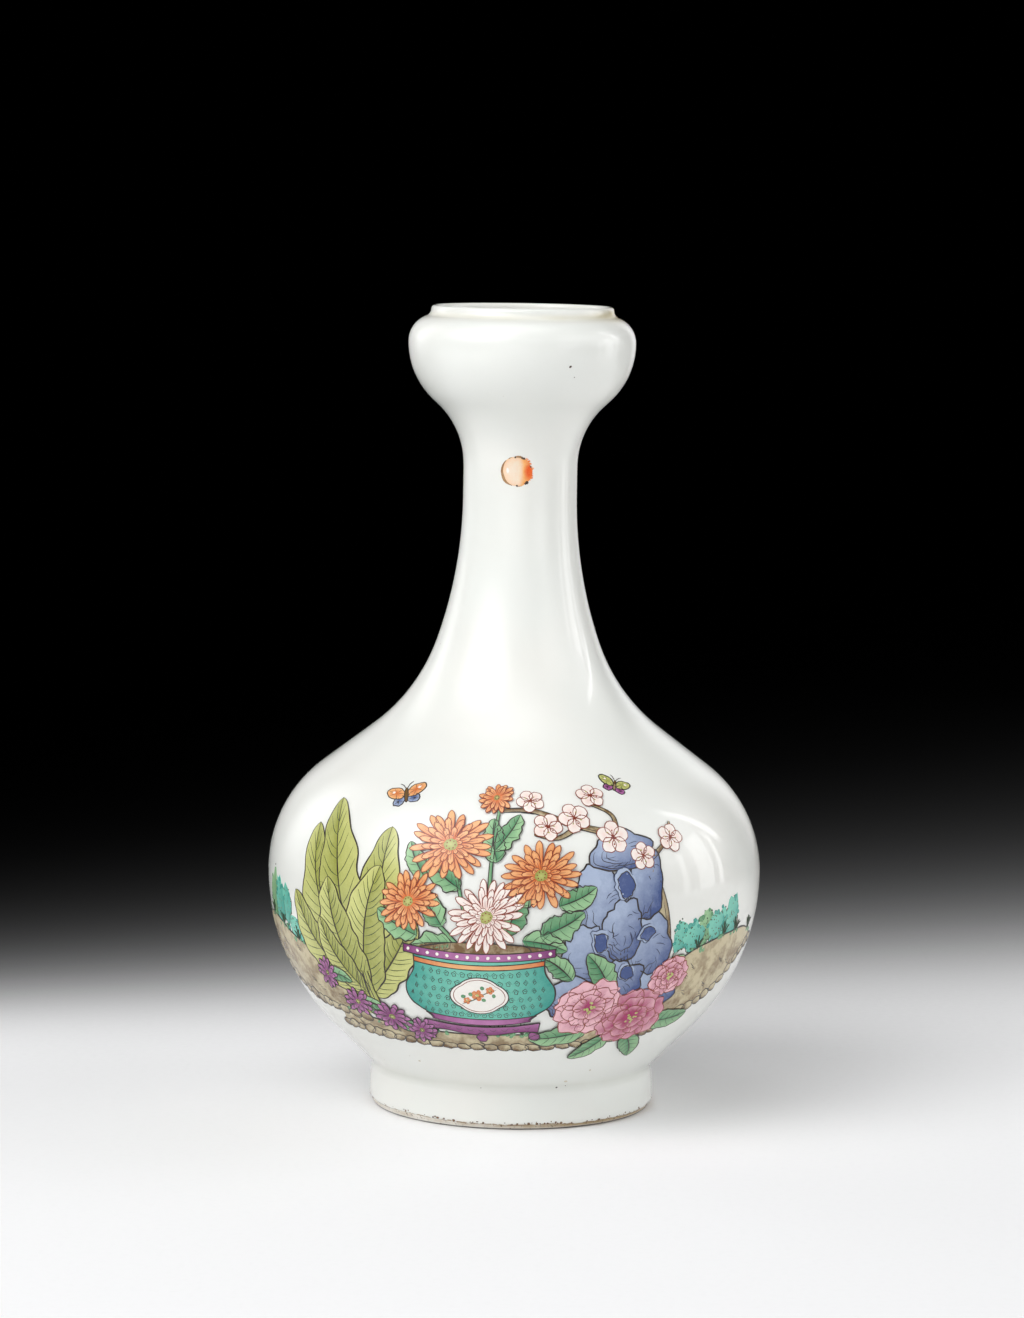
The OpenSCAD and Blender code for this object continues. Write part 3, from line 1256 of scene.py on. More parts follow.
@dataclass
class Motif:
    """Something painted at one place of the vase."""

    canvas: Canvas
    turn_deg: float
    height_mm: float
    tilt_deg: float = 0.0
    size: float = 1.0
    level: float = 0.0
    seed: int = 1

    def __post_init__(self) -> None:
        """Find the place and start the dice."""
        self.place = Place(self.canvas.surface, self.turn_deg, self.height_mm, self.tilt_deg, self.size)
        self.dice = random.Random(self.seed)

    def vary(self, spread: float) -> float:
        """A random number about 0."""
        return self.dice.uniform(-spread, spread)

    def patch(self, paint: Paint, shape: Shape, level: float, shade: Shade, disc: bool = False) -> None:
        """Lay a patch of enamel on the motif's own level."""
        self.canvas.patch(paint, self.place, shape, self.level + level, shade, disc)

    def line(self, paint: Paint, path: Path, width: float, level: float, taper: float = 0.3) -> None:
        """Draw a brush line on the motif's own level."""
        self.canvas.line(paint, self.place, path, width, self.level + level, taper)

    def dab(
        self, paint: Paint, centre: Sequence[float], radius: float, level: float, shade: float = 0.6
    ) -> None:
        """Set down a small round touch of enamel.

        Args:
            paint: the enamel.
            centre: its middle, in the motif's millimetres.
            radius: about half its size.
            level: how many layers lie under it.
            shade: depth of its colour.
        """
        stretch = radius * self.dice.uniform(0.75, 1.2)
        shape = blob(centre, (radius, stretch), self.dice.uniform(0, 180), 0.18, self.dice.uniform(0, 50))
        self.patch(paint, shape, level, lambda u, v: shade + 0.3 * (u - 0.5), True)


@dataclass
class Leaf(Motif):
    """A leaf with a folded midrib, two halves of different depth, and side veins."""

    length_mm: float = 16.0
    width_mm: float = 6.5
    bend_mm: float = 3.0
    body: Paint = Paint.GREEN
    veins: int = 6
    notch: float = 0.04
    line_mm: float = 0.3

    def paint(self) -> None:
        """Paint the leaf from its stalk at the origin."""
        bend, long = self.bend_mm, self.length_mm
        middle = curve((0, 0), (bend * 0.10, long * 0.34), (bend * 0.42, long * 0.70), (bend, long))
        dark_side = 1 if bend < 0 else -1
        for side in (1, -1):
            wave = self.dice.uniform(0, 40)
            edge = self.edge(middle, side, wave)
            base = 0.62 if side == dark_side else 0.18
            half = between(middle, edge)
            self.patch(self.body, half, 0, lambda u, v, b=base: b + 0.42 * (1 - v) ** 2 - 0.15 * u)
            self.line(Paint.INK, edge, self.line_mm, 1, 0.18)
            for k in range(self.veins):
                start = 0.08 + 0.80 * k / self.veins + self.vary(0.012)
                stop = min(start + 0.13, 0.985)
                root, tip = middle(start), edge(stop)
                tip = root.lerp(tip, 0.86)
                bow = root.lerp(tip, 0.5) - Vector((0, 0.02 * long))
                self.line(Paint.GREEN_LINE, curve(root, bow, tip), self.line_mm * 0.55, 1, 0.6)
        self.line(Paint.INK, middle, self.line_mm * 1.15, 1, 0.5)

    def edge(self, middle: Path, side: int, wave: float) -> Path:
        """One edge of the leaf.

        Args:
            middle: the midrib.
            side: 1 for its left and -1 for its right.
            wave: picks the ripples.

        Returns:
            The edge from the stalk to the tip.
        """
        half = self.width_mm / 2

        def at(t: float) -> Vector:
            """Point of the edge."""
            swell = math.sin(math.pi * t ** 0.82) ** 0.75 if 0 < t < 1 else 0.0
            ripple = 1 + self.notch * 3 * noise.noise(Vector((t * 9, wave, 0)))
            return middle(t) + across(middle, t) * side * half * swell * ripple

        return at


@dataclass
class Chrysanthemum(Motif):
    """A full bloom of narrow petals in rings, seen at a slant."""

    radius_mm: float = 11.0
    rings: int = 4
    petals: int = 19
    body: Paint = Paint.RED
    ink: Paint = Paint.RED_LINE
    flatten: float = 0.84
    outline_mm: float = 0.2
    rib_mm: float = 0.12

    def paint(self) -> None:
        """Paint the rings from the outermost in, then the heart."""
        for ring in range(self.rings):
            count = self.petals - 3 * ring
            reach = self.radius_mm * (1 - 0.235 * ring)
            for k in range(count):
                angle = 2 * math.pi * (k + 0.5 * (ring % 2)) / count + self.vary(0.06)
                self.petal(angle, reach * (1 + self.vary(0.07)), 2.5 * reach / count + 0.55, ring)
        heart = self.radius_mm * 0.17
        disc = blob((0, 0), (heart, heart * self.flatten), 0, 0.1)
        self.patch(Paint.YELLOW_GREEN, disc, self.rings + 1, lambda u, v: 0.2 + 0.6 * u, True)
        for k in range(7):
            a = 2 * math.pi * k / 7
            self.dab(self.ink, (heart * 0.6 * math.cos(a), heart * 0.55 * math.sin(a)), 0.2, self.rings + 2)

    def petal(self, angle: float, reach: float, width: float, ring: int) -> None:
        """Paint one petal.

        Args:
            angle: direction in radians.
            reach: distance of its tip from the middle.
            width: its widest width.
            ring: its ring, with 0 the outermost.
        """
        root = self.radius_mm * 0.1
        bow = self.vary(0.9)
        ahead = Vector((math.cos(angle), math.sin(angle)))
        left = Vector((-ahead.y, ahead.x))

        def shape(u: float, v: float) -> Vector:
            """Point of the petal."""
            swell = 0.38 + 0.62 * min(u / 0.66, 1)
            if u > 0.72:
                swell *= math.sqrt(max(0.0, 1 - ((u - 0.72) / 0.28) ** 2))
            spot = ahead * (root + (reach - root) * u) + left * ((v - 0.5) * width * swell + bow * u * u)
            return Vector((spot.x, spot.y * self.flatten))

        level = ring + 0.5 * (angle > math.pi)
        self.patch(self.body, shape, level, lambda u, v: 0.95 - 0.95 * u + 0.35 * abs(2 * v - 1) ** 3)
        rim = ((0.3, 0), (0.6, 0), (0.85, 0), (0.97, 0.25), (0.97, 0.75), (0.85, 1), (0.6, 1), (0.3, 1))
        self.line(self.ink, through(shape, *rim), self.outline_mm, level + 0.2, 0.12)
        self.line(self.ink, streak(shape, (0.25, 0.5), (0.75, 0.5)), self.rib_mm, level + 0.2, 0.5)


@dataclass
class Peony(Motif):
    """A bloom of broad petals with frilled edges round a golden heart."""

    radius_mm: float = 9.5
    rings: tuple[int, ...] = (8, 7, 5)
    body: Paint = Paint.PINK
    ink: Paint = Paint.RED_LINE
    flatten: float = 0.86
    depth: float = 0.0
    outline_mm: float = 0.22
    rib_mm: float = 0.12

    def paint(self) -> None:
        """Paint the ground, the rings from the outermost in, and then the heart."""
        ground = 0.4 * self.radius_mm
        self.patch(self.body, blob((0, 0), (ground, ground * self.flatten)), 0, lambda u, v: 1.0, True)
        for ring, count in enumerate(self.rings):
            reach = self.radius_mm * (1 - 0.27 * ring)
            for k in range(count):
                angle = 2 * math.pi * (k + 0.5 * (ring % 2)) / count + self.vary(0.1)
                self.petal(angle, reach * (1 + self.vary(0.09)), 1.34 * 2 * math.pi / count, ring)
        for k in range(11):
            a, r = self.dice.uniform(0, 2 * math.pi), self.radius_mm * self.dice.uniform(0.02, 0.2)
            self.dab(Paint.YELLOW_GREEN, (r * math.cos(a), r * math.sin(a)), 0.42, len(self.rings) + 1, 0.25)

    def petal(self, angle: float, reach: float, span: float, ring: int) -> None:
        """Paint one petal.

        Args:
            angle: direction in radians.
            reach: distance of its edge from the middle.
            span: angle that it covers in radians.
            ring: its ring, with 0 the outermost.
        """
        root = self.radius_mm * 0.1
        frill = self.dice.uniform(0, 6)
        lobes = self.dice.choice((2, 3))

        def shape(u: float, v: float) -> Vector:
            """Point of the petal."""
            side = 2 * v - 1
            far = reach * (1 - 0.2 * side ** 4 + 0.055 * math.cos(lobes * math.pi * side + frill))
            a = angle + span / 2 * side * (0.45 + 0.55 * math.sin(math.pi * 0.5 * min(u * 1.3, 1)))
            r = root + (far - root) * u
            return Vector((r * math.cos(a), r * math.sin(a) * self.flatten))

        def shade(u: float, v: float) -> float:
            """Deep at the root and pale at the edge, with faint stripes."""
            return self.depth + 1.05 - 1.15 * u ** 0.8 + 0.12 * math.cos(9 * v)

        level = ring * 1.5 + 0.6 * (int(angle * 3) % 2)
        self.patch(self.body, shape, level, shade)
        left = ((0.35, 0), (0.7, 0), (0.95, 0.03), (0.99, 0.2), (0.99, 0.4))
        right = ((0.99, 0.6), (0.99, 0.8), (0.95, 0.97), (0.7, 1), (0.35, 1))
        self.line(self.ink, through(shape, *left, *right), self.outline_mm, level + 0.3, 0.15)
        for v in (0.25, 0.5, 0.75):
            self.line(self.ink, streak(shape, (0.35, v), (0.75, v)), self.rib_mm, level + 0.3, 0.6)


@dataclass
class Blossom(Motif):
    """A small five-petalled blossom with stamens."""

    radius_mm: float = 3.6
    body: Paint = Paint.WHITE
    ink: Paint = Paint.RED_LINE
    outline_mm: float = 0.2
    stamen_mm: float = 0.12

    def paint(self) -> None:
        """Paint the petals and the stamens."""
        r = self.radius_mm
        for k in range(5):
            a = 2 * math.pi * k / 5 + 0.3
            centre = (0.55 * r * math.cos(a), 0.55 * r * math.sin(a))
            shape = blob(centre, (0.46 * r, 0.43 * r), math.degrees(a), 0.1, k)
            self.patch(self.body, shape, 0.3 * (k % 2), lambda u, v: 0.25 + 0.5 * (1 - u) ** 2, True)
            self.line(self.ink, edge_of(shape), self.outline_mm, 0.6, 0)
        for k in range(8):
            a = 2 * math.pi * k / 8
            tip = (0.42 * r * math.cos(a), 0.42 * r * math.sin(a))
            self.line(self.ink, curve((0, 0), tip), self.stamen_mm, 1.2, 0)
            self.dab(Paint.YELLOW_GREEN if k % 2 else self.ink, tip, 0.24, 1.5, 0.4)


@dataclass
class Branch(Motif):
    """A stem or branch of changing thickness, outlined and marked with bark."""

    points: tuple[tuple[float, float], ...] = ((0, 0), (0, 10))
    widths: tuple[float, float] = (2.0, 0.8)
    body: Paint = Paint.BROWN
    bark: int = 8
    knots: float = 0.25
    outline_mm: float = 0.24
    bark_mm: float = 0.15

    def paint(self) -> None:
        """Paint the branch along its points."""
        path = curve(*self.points)
        first, last = self.widths

        def side(t: float, sign: float) -> Vector:
            """Point of the branch's left side (sign 1) or right side (sign -1)."""
            half = (first + (last - first) * t) / 2
            uneven = 1 + self.knots * noise.noise(Vector((t * 7, sign, self.seed)))
            return path(t) + across(path, t) * sign * half * uneven

        sides = [partial(side, sign=sign) for sign in (1, -1)]
        self.patch(self.body, between(*sides), 0, lambda u, v: 0.25 + 0.7 * v)
        for edge in sides:
            self.line(Paint.INK, edge, self.outline_mm, 0.6, 0.1)
        for _ in range(self.bark):
            start = self.dice.uniform(0.05, 0.9)
            aside = across(path, start) * self.vary(0.6) * first / 2
            self.line(Paint.INK, lambda t, s=start, a=aside: path(s + 0.06 * t) + a, self.bark_mm, 0.6)


@dataclass
class Rock(Motif):
    """A pierced garden rock: lobes piled from the back to the front, with hollows and texture strokes."""

    lobes: tuple[tuple[float, float, float, float, float], ...] = ()
    holes: tuple[tuple[float, float, float, float], ...] = ()
    body: Paint = Paint.BLUE
    ink: Paint = Paint.BLUE_LINE
    outline_mm: float = 0.42
    fold_mm: float = 0.24
    stroke_mm: float = 0.2
    hole_mm: float = 0.28

    def paint(self) -> None:
        """Paint the lobes (x, y, half width, half height, tilt), then the holes, which have no tilt."""
        for k, (x, y, wide, tall, tilt) in enumerate(self.lobes):
            shape = blob((x, y), (wide, tall), tilt, 0.24, self.seed + 7.3 * k)
            light = math.radians(125 - tilt)

            def shade(u: float, v: float) -> float:
                """Deep under the edge away from the light."""
                return 0.42 - 0.55 * u * math.cos(2 * math.pi * v - light) + 0.25 * u ** 4

            self.patch(self.body, shape, k, shade, True)
            self.line(Paint.INK, edge_of(shape), self.outline_mm, k + 0.4, 0)
            for ring in (0.88, 0.76, 0.64, 0.50):
                start = 0.55 + self.vary(0.12)
                stop = start + 0.20 + 0.16 * self.dice.random()
                self.line(Paint.INK, streak(shape, (ring, start), (ring, stop)), self.fold_mm, k + 0.4, 0.5)
            for _ in range(11):
                v, r = self.dice.uniform(0.5, 1.15), self.dice.uniform(0.5, 0.95)
                stroke = streak(shape, (r, v), (r - 0.28, v + 0.06))
                self.line(self.ink, stroke, self.stroke_mm, k + 0.4, 0.5)
        top = len(self.lobes)
        for k, (x, y, wide, tall) in enumerate(self.holes):
            waves = (20 * k, 0.3, self.seed + 3.1 * k)
            hole = blob((x, y), (wide, tall), *waves)
            lit = blob((x - 0.15 * wide, y + 0.12 * tall), (wide * 1.3, tall * 1.25), *waves)
            self.patch(self.body, lit, top, lambda u, v: 0.02, True)
            self.patch(self.body, hole, top + 1, lambda u, v: 1.0, True)
            self.line(Paint.INK, edge_of(hole), self.hole_mm, top + 1.4, 0)
            self.line(self.ink, edge_of(lit, 0.1, 0.7), self.stroke_mm, top + 1.4, 0.3)


@dataclass
class Jardiniere(Motif):
    """A flower pot with a scroll ground, banded rim and foot, and a lobed panel, on a low stand."""

    height: float = 20.0
    half_foot: float = 12.5
    half_belly: float = 20.0
    half_neck: float = 17.6
    half_rim: float = 20.4
    droop: float = 1.7
    outline_mm: float = 0.34
    band_line_mm: float = 0.26
    stand_line_mm: float = 0.28
    panel_line_mm: float = 0.3
    scroll_mm: float = 0.19
    hair_mm: float = 0.16

    def half(self, h: float) -> float:
        """Half width of the pot.

        Args:
            h: height above its foot.

        Returns:
            The half width at that height.
        """
        belly, neck = self.half_belly, self.half_neck
        side = curve((self.half_foot, 0), (belly * 0.93, 0.35), (belly, 0.66), (neck, 0.93), (neck, 1.0))
        return side(h / self.height).x

    def band(self, low: float, high: float, grow: float = 0.0) -> Shape:
        """Stretch of the pot between two heights, with rounded-looking level lines.

        Args:
            low: its lower height.
            high: its upper height.
            grow: how far it stands out on each side.

        Returns:
            The shape, with u going up and v from the left to the right.
        """

        def shape(u: float, v: float) -> Vector:
            """Point of the band."""
            h = low + (high - low) * u
            side = 2 * v - 1
            half = self.half(min(h, self.height)) + grow
            return Vector((half * side, h - self.droop * (1 - side * side)))

        return shape

    def ring(self, paint: Paint, low: float, high: float, grow: float, level: float) -> None:
        """Paint a band with its outlines.

        Args:
            paint: its enamel.
            low: its lower height.
            high: its upper height.
            grow: how far it stands out on each side.
            level: how many layers lie under it.
        """
        shape = self.band(low, high, grow)
        self.patch(paint, shape, level, lambda u, v: 0.15 + 0.8 * abs(2 * v - 1) ** 2)
        sides = (((0, 0), (0, 1)), ((1, 0), (1, 1)), ((0, 0), (1, 0)), ((0, 1), (1, 1)))
        for start, end in sides:
            self.line(Paint.INK, streak(shape, start, end), self.band_line_mm, level + 0.4, 0)

    def paint(self) -> None:
        """Paint the stand, the body, its scrolls and panel, and the bands."""
        self.stand()
        body = self.band(0, self.height)

        def rounded(u: float, v: float) -> float:
            """Deeper towards the sides, and a little towards the foot."""
            return 0.12 + 0.75 * abs(2 * v - 1) ** 2.2 + 0.15 * (1 - u)

        self.patch(Paint.TURQUOISE, body, 2, rounded)
        for v in (0, 1):
            self.line(Paint.INK, streak(body, (0, v), (1, v)), self.outline_mm, 2.5, 0)
        self.scrolls(body)
        self.panel()
        self.ring(Paint.PURPLE, -0.4, 1.7, 0.5, 3)
        self.ring(Paint.RED, self.height * 0.86, self.height * 0.93, 0.0, 3)
        mouth = blob((0, self.height + 0.9), (self.half_rim * 0.95, 2.3))
        self.patch(Paint.BROWN, mouth, 2, lambda u, v: 0.9, True)
        self.line(Paint.INK, edge_of(mouth), self.panel_line_mm, 2.5, 0)
        self.ring(Paint.PURPLE, self.height - 0.3, self.height + 1.9, self.half_rim - self.half_neck, 4)
        for k in range(15):
            side = -0.93 + 1.86 * k / 14
            y = self.height + 0.8 - self.droop * (1 - side * side)
            self.dab(Paint.WHITE, (side * self.half_rim, y), 0.5, 5, 0.1)

    def scrolls(self, body: Shape) -> None:
        """Fill the body with small spiral scrolls.

        Args:
            body: the pot's body.
        """
        rows, columns = 6, 15
        for row in range(rows):
            for column in range(columns):
                v = 0.045 + 0.91 * (column + 0.5 * (row % 2)) / columns
                centre = body(0.15 + 0.125 * row, v)
                squeeze = max(0.35, math.sqrt(max(0.0, 1 - (2 * v - 1) ** 2)))
                hand = 1 if (row + column) % 2 else -1

                def spiral(t: float, c: Vector = centre, q: float = squeeze, h: int = hand) -> Vector:
                    """Point of one scroll."""
                    a = 2 * math.pi * 1.5 * t
                    r = 1.08 * (1 - 0.8 * t)
                    return c + Vector((h * q * r * math.cos(a), r * math.sin(a)))

                self.line(Paint.INK, spiral, self.scroll_mm, 2.5, 0.2)

    def panel(self) -> None:
        """Paint the white lobed panel with a small spray of blossom."""
        low = self.height * 0.47 - self.droop

        def lobed(u: float, v: float) -> Vector:
            """Point of the panel."""
            a = 2 * math.pi * (v % 1.0)
            r = u * (1 + 0.10 * abs(math.cos(2 * a)) - 0.05)
            return Vector((7.4 * r * math.cos(a), low + 5.4 * r * math.sin(a)))

        self.patch(Paint.WHITE, lobed, 4, lambda u, v: 0.08, True)
        self.line(Paint.INK, edge_of(lobed), self.panel_line_mm, 4.5, 0)
        self.line(Paint.RED_LINE, streak(lobed, (0.88, 0), (0.88, 1)), self.hair_mm, 4.5, 0)
        spray = curve((-4.6, low - 2.6), (-1.5, low - 1.2), (1.5, low + 0.8), (4.6, low + 2.2))
        self.line(Paint.GREEN_LINE, spray, self.band_line_mm, 4.5)
        for x, y, r in ((-0.4, 0.3, 1.35), (2.9, 1.9, 0.95), (-3.2, -1.4, 0.9)):
            for k in range(5):
                a = 2 * math.pi * k / 5
                petal = (x + 0.75 * r * math.cos(a), low + y + 0.75 * r * math.sin(a))
                self.dab(Paint.RED, petal, 0.55 * r, 5, 0.6)
            self.dab(Paint.YELLOW_GREEN, (x, low + y), 0.34 * r, 6, 0.2)
        for x, y in ((-2.2, 0.6), (1.2, -1.1), (3.9, 0.3), (-4.2, -0.2), (0.9, 2.6)):
            self.dab(Paint.GREEN, (x, low + y), 0.62, 5, 0.7)

    def stand(self) -> None:
        """Paint the low stand with its bracket feet."""
        top = curve((-15.5, -0.9), (-8, -2.3), (0, -2.8), (8, -2.3), (15.5, -0.9))
        half_under = ((4, -5.6), (9, -4.5), (12.6, -4.3), (14.6, -4.9))
        under = curve(*((-x, y) for x, y in reversed(half_under)), (0, -5.9), *half_under)
        self.patch(Paint.PURPLE, between(top, under), 1, lambda u, v: 0.35 + 0.55 * v)
        ends = [curve(top(end), under(end)) for end in (0, 1)]
        for edge in (top, under, *ends):
            self.line(Paint.INK, edge, self.stand_line_mm, 1.5, 0)
        for x, y in ((-13.6, -5.0), (0, -6.0), (13.6, -5.0)):
            foot = blob((x, y - 0.8), (1.5, 1.7), 0, 0.15, x)
            self.patch(Paint.PURPLE, foot, 2, lambda u, v: 0.7, True)
            self.line(Paint.INK, edge_of(foot), self.stand_line_mm, 2.5, 0)
        for k in range(9):
            x = -12 + 3 * k
            y = top((x + 15.5) / 31).y
            scallop = curve((x - 0.9, y - 0.9), (x, y - 1.7), (x + 0.9, y - 0.9))
            self.line(Paint.INK, scallop, self.hair_mm, 1.5)


@dataclass
class Bank(Motif):
    """A low bank of earth with dry strokes, grass and moss along its top and stones at its foot."""

    top: tuple[tuple[float, float], ...] = ()
    under: tuple[tuple[float, float], ...] = ()
    dabs: int = 42
    tufts: int = 5
    stone_mm: float = 3.4
    outline_mm: float = 0.32
    stone_line_mm: float = 0.3
    hatch_mm: float = 0.15
    blade_mm: float = 0.3

    def paint(self) -> None:
        """Paint the bank between its top and its under edge."""
        top, under = curve(*self.top), curve(*self.under)
        shape = between(under, top)
        self.patch(Paint.BROWN, shape, 0, lambda u, v: 0.66 - 0.5 * v)
        self.line(Paint.INK, top, self.outline_mm, 0.5, 0.1)
        self.strokes(shape)
        self.stones(under)
        self.grass(shape)

    def strokes(self, shape: Shape) -> None:
        """Mark the earth with groups of slanting dry strokes.

        Args:
            shape: the bank.
        """
        for _ in range(self.dabs // 3):
            spot = shape(self.dice.random(), self.dice.uniform(0.12, 0.85))
            lean = self.vary(0.5)
            for k in range(3):
                start = spot + Vector((0.5 * k + self.vary(0.2), -0.62 * k))
                stop = start + Vector((1.7 + self.vary(0.6), lean - 0.5))
                self.line(Paint.INK, curve(start, stop), self.dice.uniform(0.14, 0.36), 0.5, 0.6)

    def stones(self, under: Path) -> None:
        """Set a row of hatched stones along the under edge.

        Args:
            under: the edge.
        """
        count = max(3, round(length_of(under, 10) / self.stone_mm))

        def shade(u: float, v: float) -> float:
            """Pale above and deep below."""
            return 0.45 - 0.5 * u * math.sin(2 * math.pi * v + 0.5)

        for k in range(count):
            spot = under((k + 0.5) / count)
            wide = self.stone_mm * self.dice.uniform(0.52, 0.68)
            tall = wide * self.dice.uniform(0.62, 0.85)
            centre = (spot.x, spot.y + 0.3 * tall)
            stone = blob(centre, (wide, tall), self.vary(14), 0.22, self.seed + 2.7 * k)
            level = 1 + 0.6 * (k % 2)
            self.patch(Paint.BROWN, stone, level, shade, True)
            self.line(Paint.INK, edge_of(stone), self.stone_line_mm, level + 0.3, 0)
            for v in (0.68, 0.75, 0.82, 0.89):
                self.line(Paint.INK, streak(stone, (0.92, v), (0.47, v)), self.hatch_mm, level + 0.3, 0.6)

    def grass(self, shape: Shape) -> None:
        """Grow tufts of grass and moss along the top.

        Args:
            shape: the bank.
        """
        for k in range(self.tufts):
            spot = shape((k + 0.5 + self.vary(0.3)) / self.tufts, 0.98)
            for blade in range(5):
                lean = (blade - 2) * 1.1 + self.vary(0.5)
                tip = spot + Vector((lean, 4.2 - abs(lean) * 0.5 + self.vary(0.7)))
                bow = spot.lerp(tip, 0.55) + Vector((0, 0.6))
                self.line(Paint.GREEN_LINE, curve(spot, bow, tip), self.blade_mm, 0.8, 0.5)
            for _ in range(5):
                moss = spot + Vector((self.vary(3.2), self.vary(0.6)))
                self.dab(Paint.GREEN, moss, 0.6, 1, 0.6)


@dataclass
class Shrub(Motif):
    """A clump of low bushes: washes of two greens with stippled leaves."""

    spread_mm: tuple[float, float] = (8.0, 6.0)
    bushes: int = 4
    dots: int = 34
    body: Paint = Paint.TURQUOISE
    other: Paint = Paint.GREEN
    outline_mm: float = 0.2

    def paint(self) -> None:
        """Paint the bushes from the left to the right, each with its stipple."""
        wide, tall = self.spread_mm

        def shade(u: float, v: float) -> float:
            """Deeper on one side."""
            return 0.28 + 0.45 * u * math.cos(2 * math.pi * v + 0.8)

        for k in range(self.bushes):
            x = wide * (2 * (k + 0.5) / self.bushes - 1) + self.vary(0.6)
            high = tall * self.dice.uniform(0.62, 1.0)
            radii = (1.5 * wide / self.bushes, high)
            crown = blob((x, high - tall), radii, self.vary(8), 0.32, self.seed + 3.3 * k)
            level = 1.2 * (k % 2)
            paint = self.body if self.dice.random() < 0.6 else self.other
            self.patch(paint, crown, level, shade, True)
            self.line(Paint.GREEN_LINE, edge_of(crown, 0.62, 1.05), self.outline_mm, level + 0.3, 0.4)
            for _ in range(self.dots):
                spot = crown(math.sqrt(self.dice.random()) * 1.04, self.dice.random())
                self.dab(Paint.GREEN_LINE, spot, self.dice.uniform(0.14, 0.3), level + 0.5, 0.2)
            for _ in range(9):
                spot = crown(self.dice.uniform(0.8, 1.08), self.dice.random())
                self.dab(paint, spot, self.dice.uniform(0.45, 0.85), level + 0.4, 0.7)


@dataclass
class Butterfly(Motif):
    """A butterfly with spread wings."""

    wings: tuple[Paint, Paint] = (Paint.RED, Paint.BLUE)
    outline_mm: float = 0.3
    vein_mm: float = 0.13
    feeler_mm: float = 0.18
    body_line_mm: float = 0.2

    def paint(self) -> None:
        """Paint the wings, their spots, the body and the feelers."""
        for side in (-1, 1):
            fore = blob((side * 3.1, 1.7), (3.3, 2.0), side * 32, 0.14, 2)
            hind = blob((side * 2.3, -1.5), (2.2, 1.7), side * -34, 0.14, 5)
            for shape, paint, level in ((hind, self.wings[1], 0), (fore, self.wings[0], 1)):
                self.patch(paint, shape, level, lambda u, v: 0.9 - 0.9 * u, True)
                self.line(Paint.INK, edge_of(shape), self.outline_mm, level + 0.4, 0)
                for v in (0.05, 0.2, 0.35, 0.5, 0.65, 0.8):
                    self.line(Paint.INK, streak(shape, (0.2, v), (0.9, v)), self.vein_mm, level + 0.4, 0.5)
            self.dab(Paint.WHITE, (side * 4.0, 2.3), 0.55, 2, 0.2)
            self.dab(Paint.INK, (side * 2.6, -1.9), 0.4, 2, 0.8)
            feeler = curve((side * 0.2, 2.6), (side * 0.9, 4.4), (side * 2.1, 5.4))
            self.line(Paint.INK, feeler, self.feeler_mm, 2, 0.3)
        trunk = blob((0, 0.2), (0.62, 2.9), 0, 0.05)
        self.patch(Paint.BROWN, trunk, 2, lambda u, v: 0.9, True)
        self.line(Paint.INK, edge_of(trunk), self.body_line_mm, 2.4, 0)


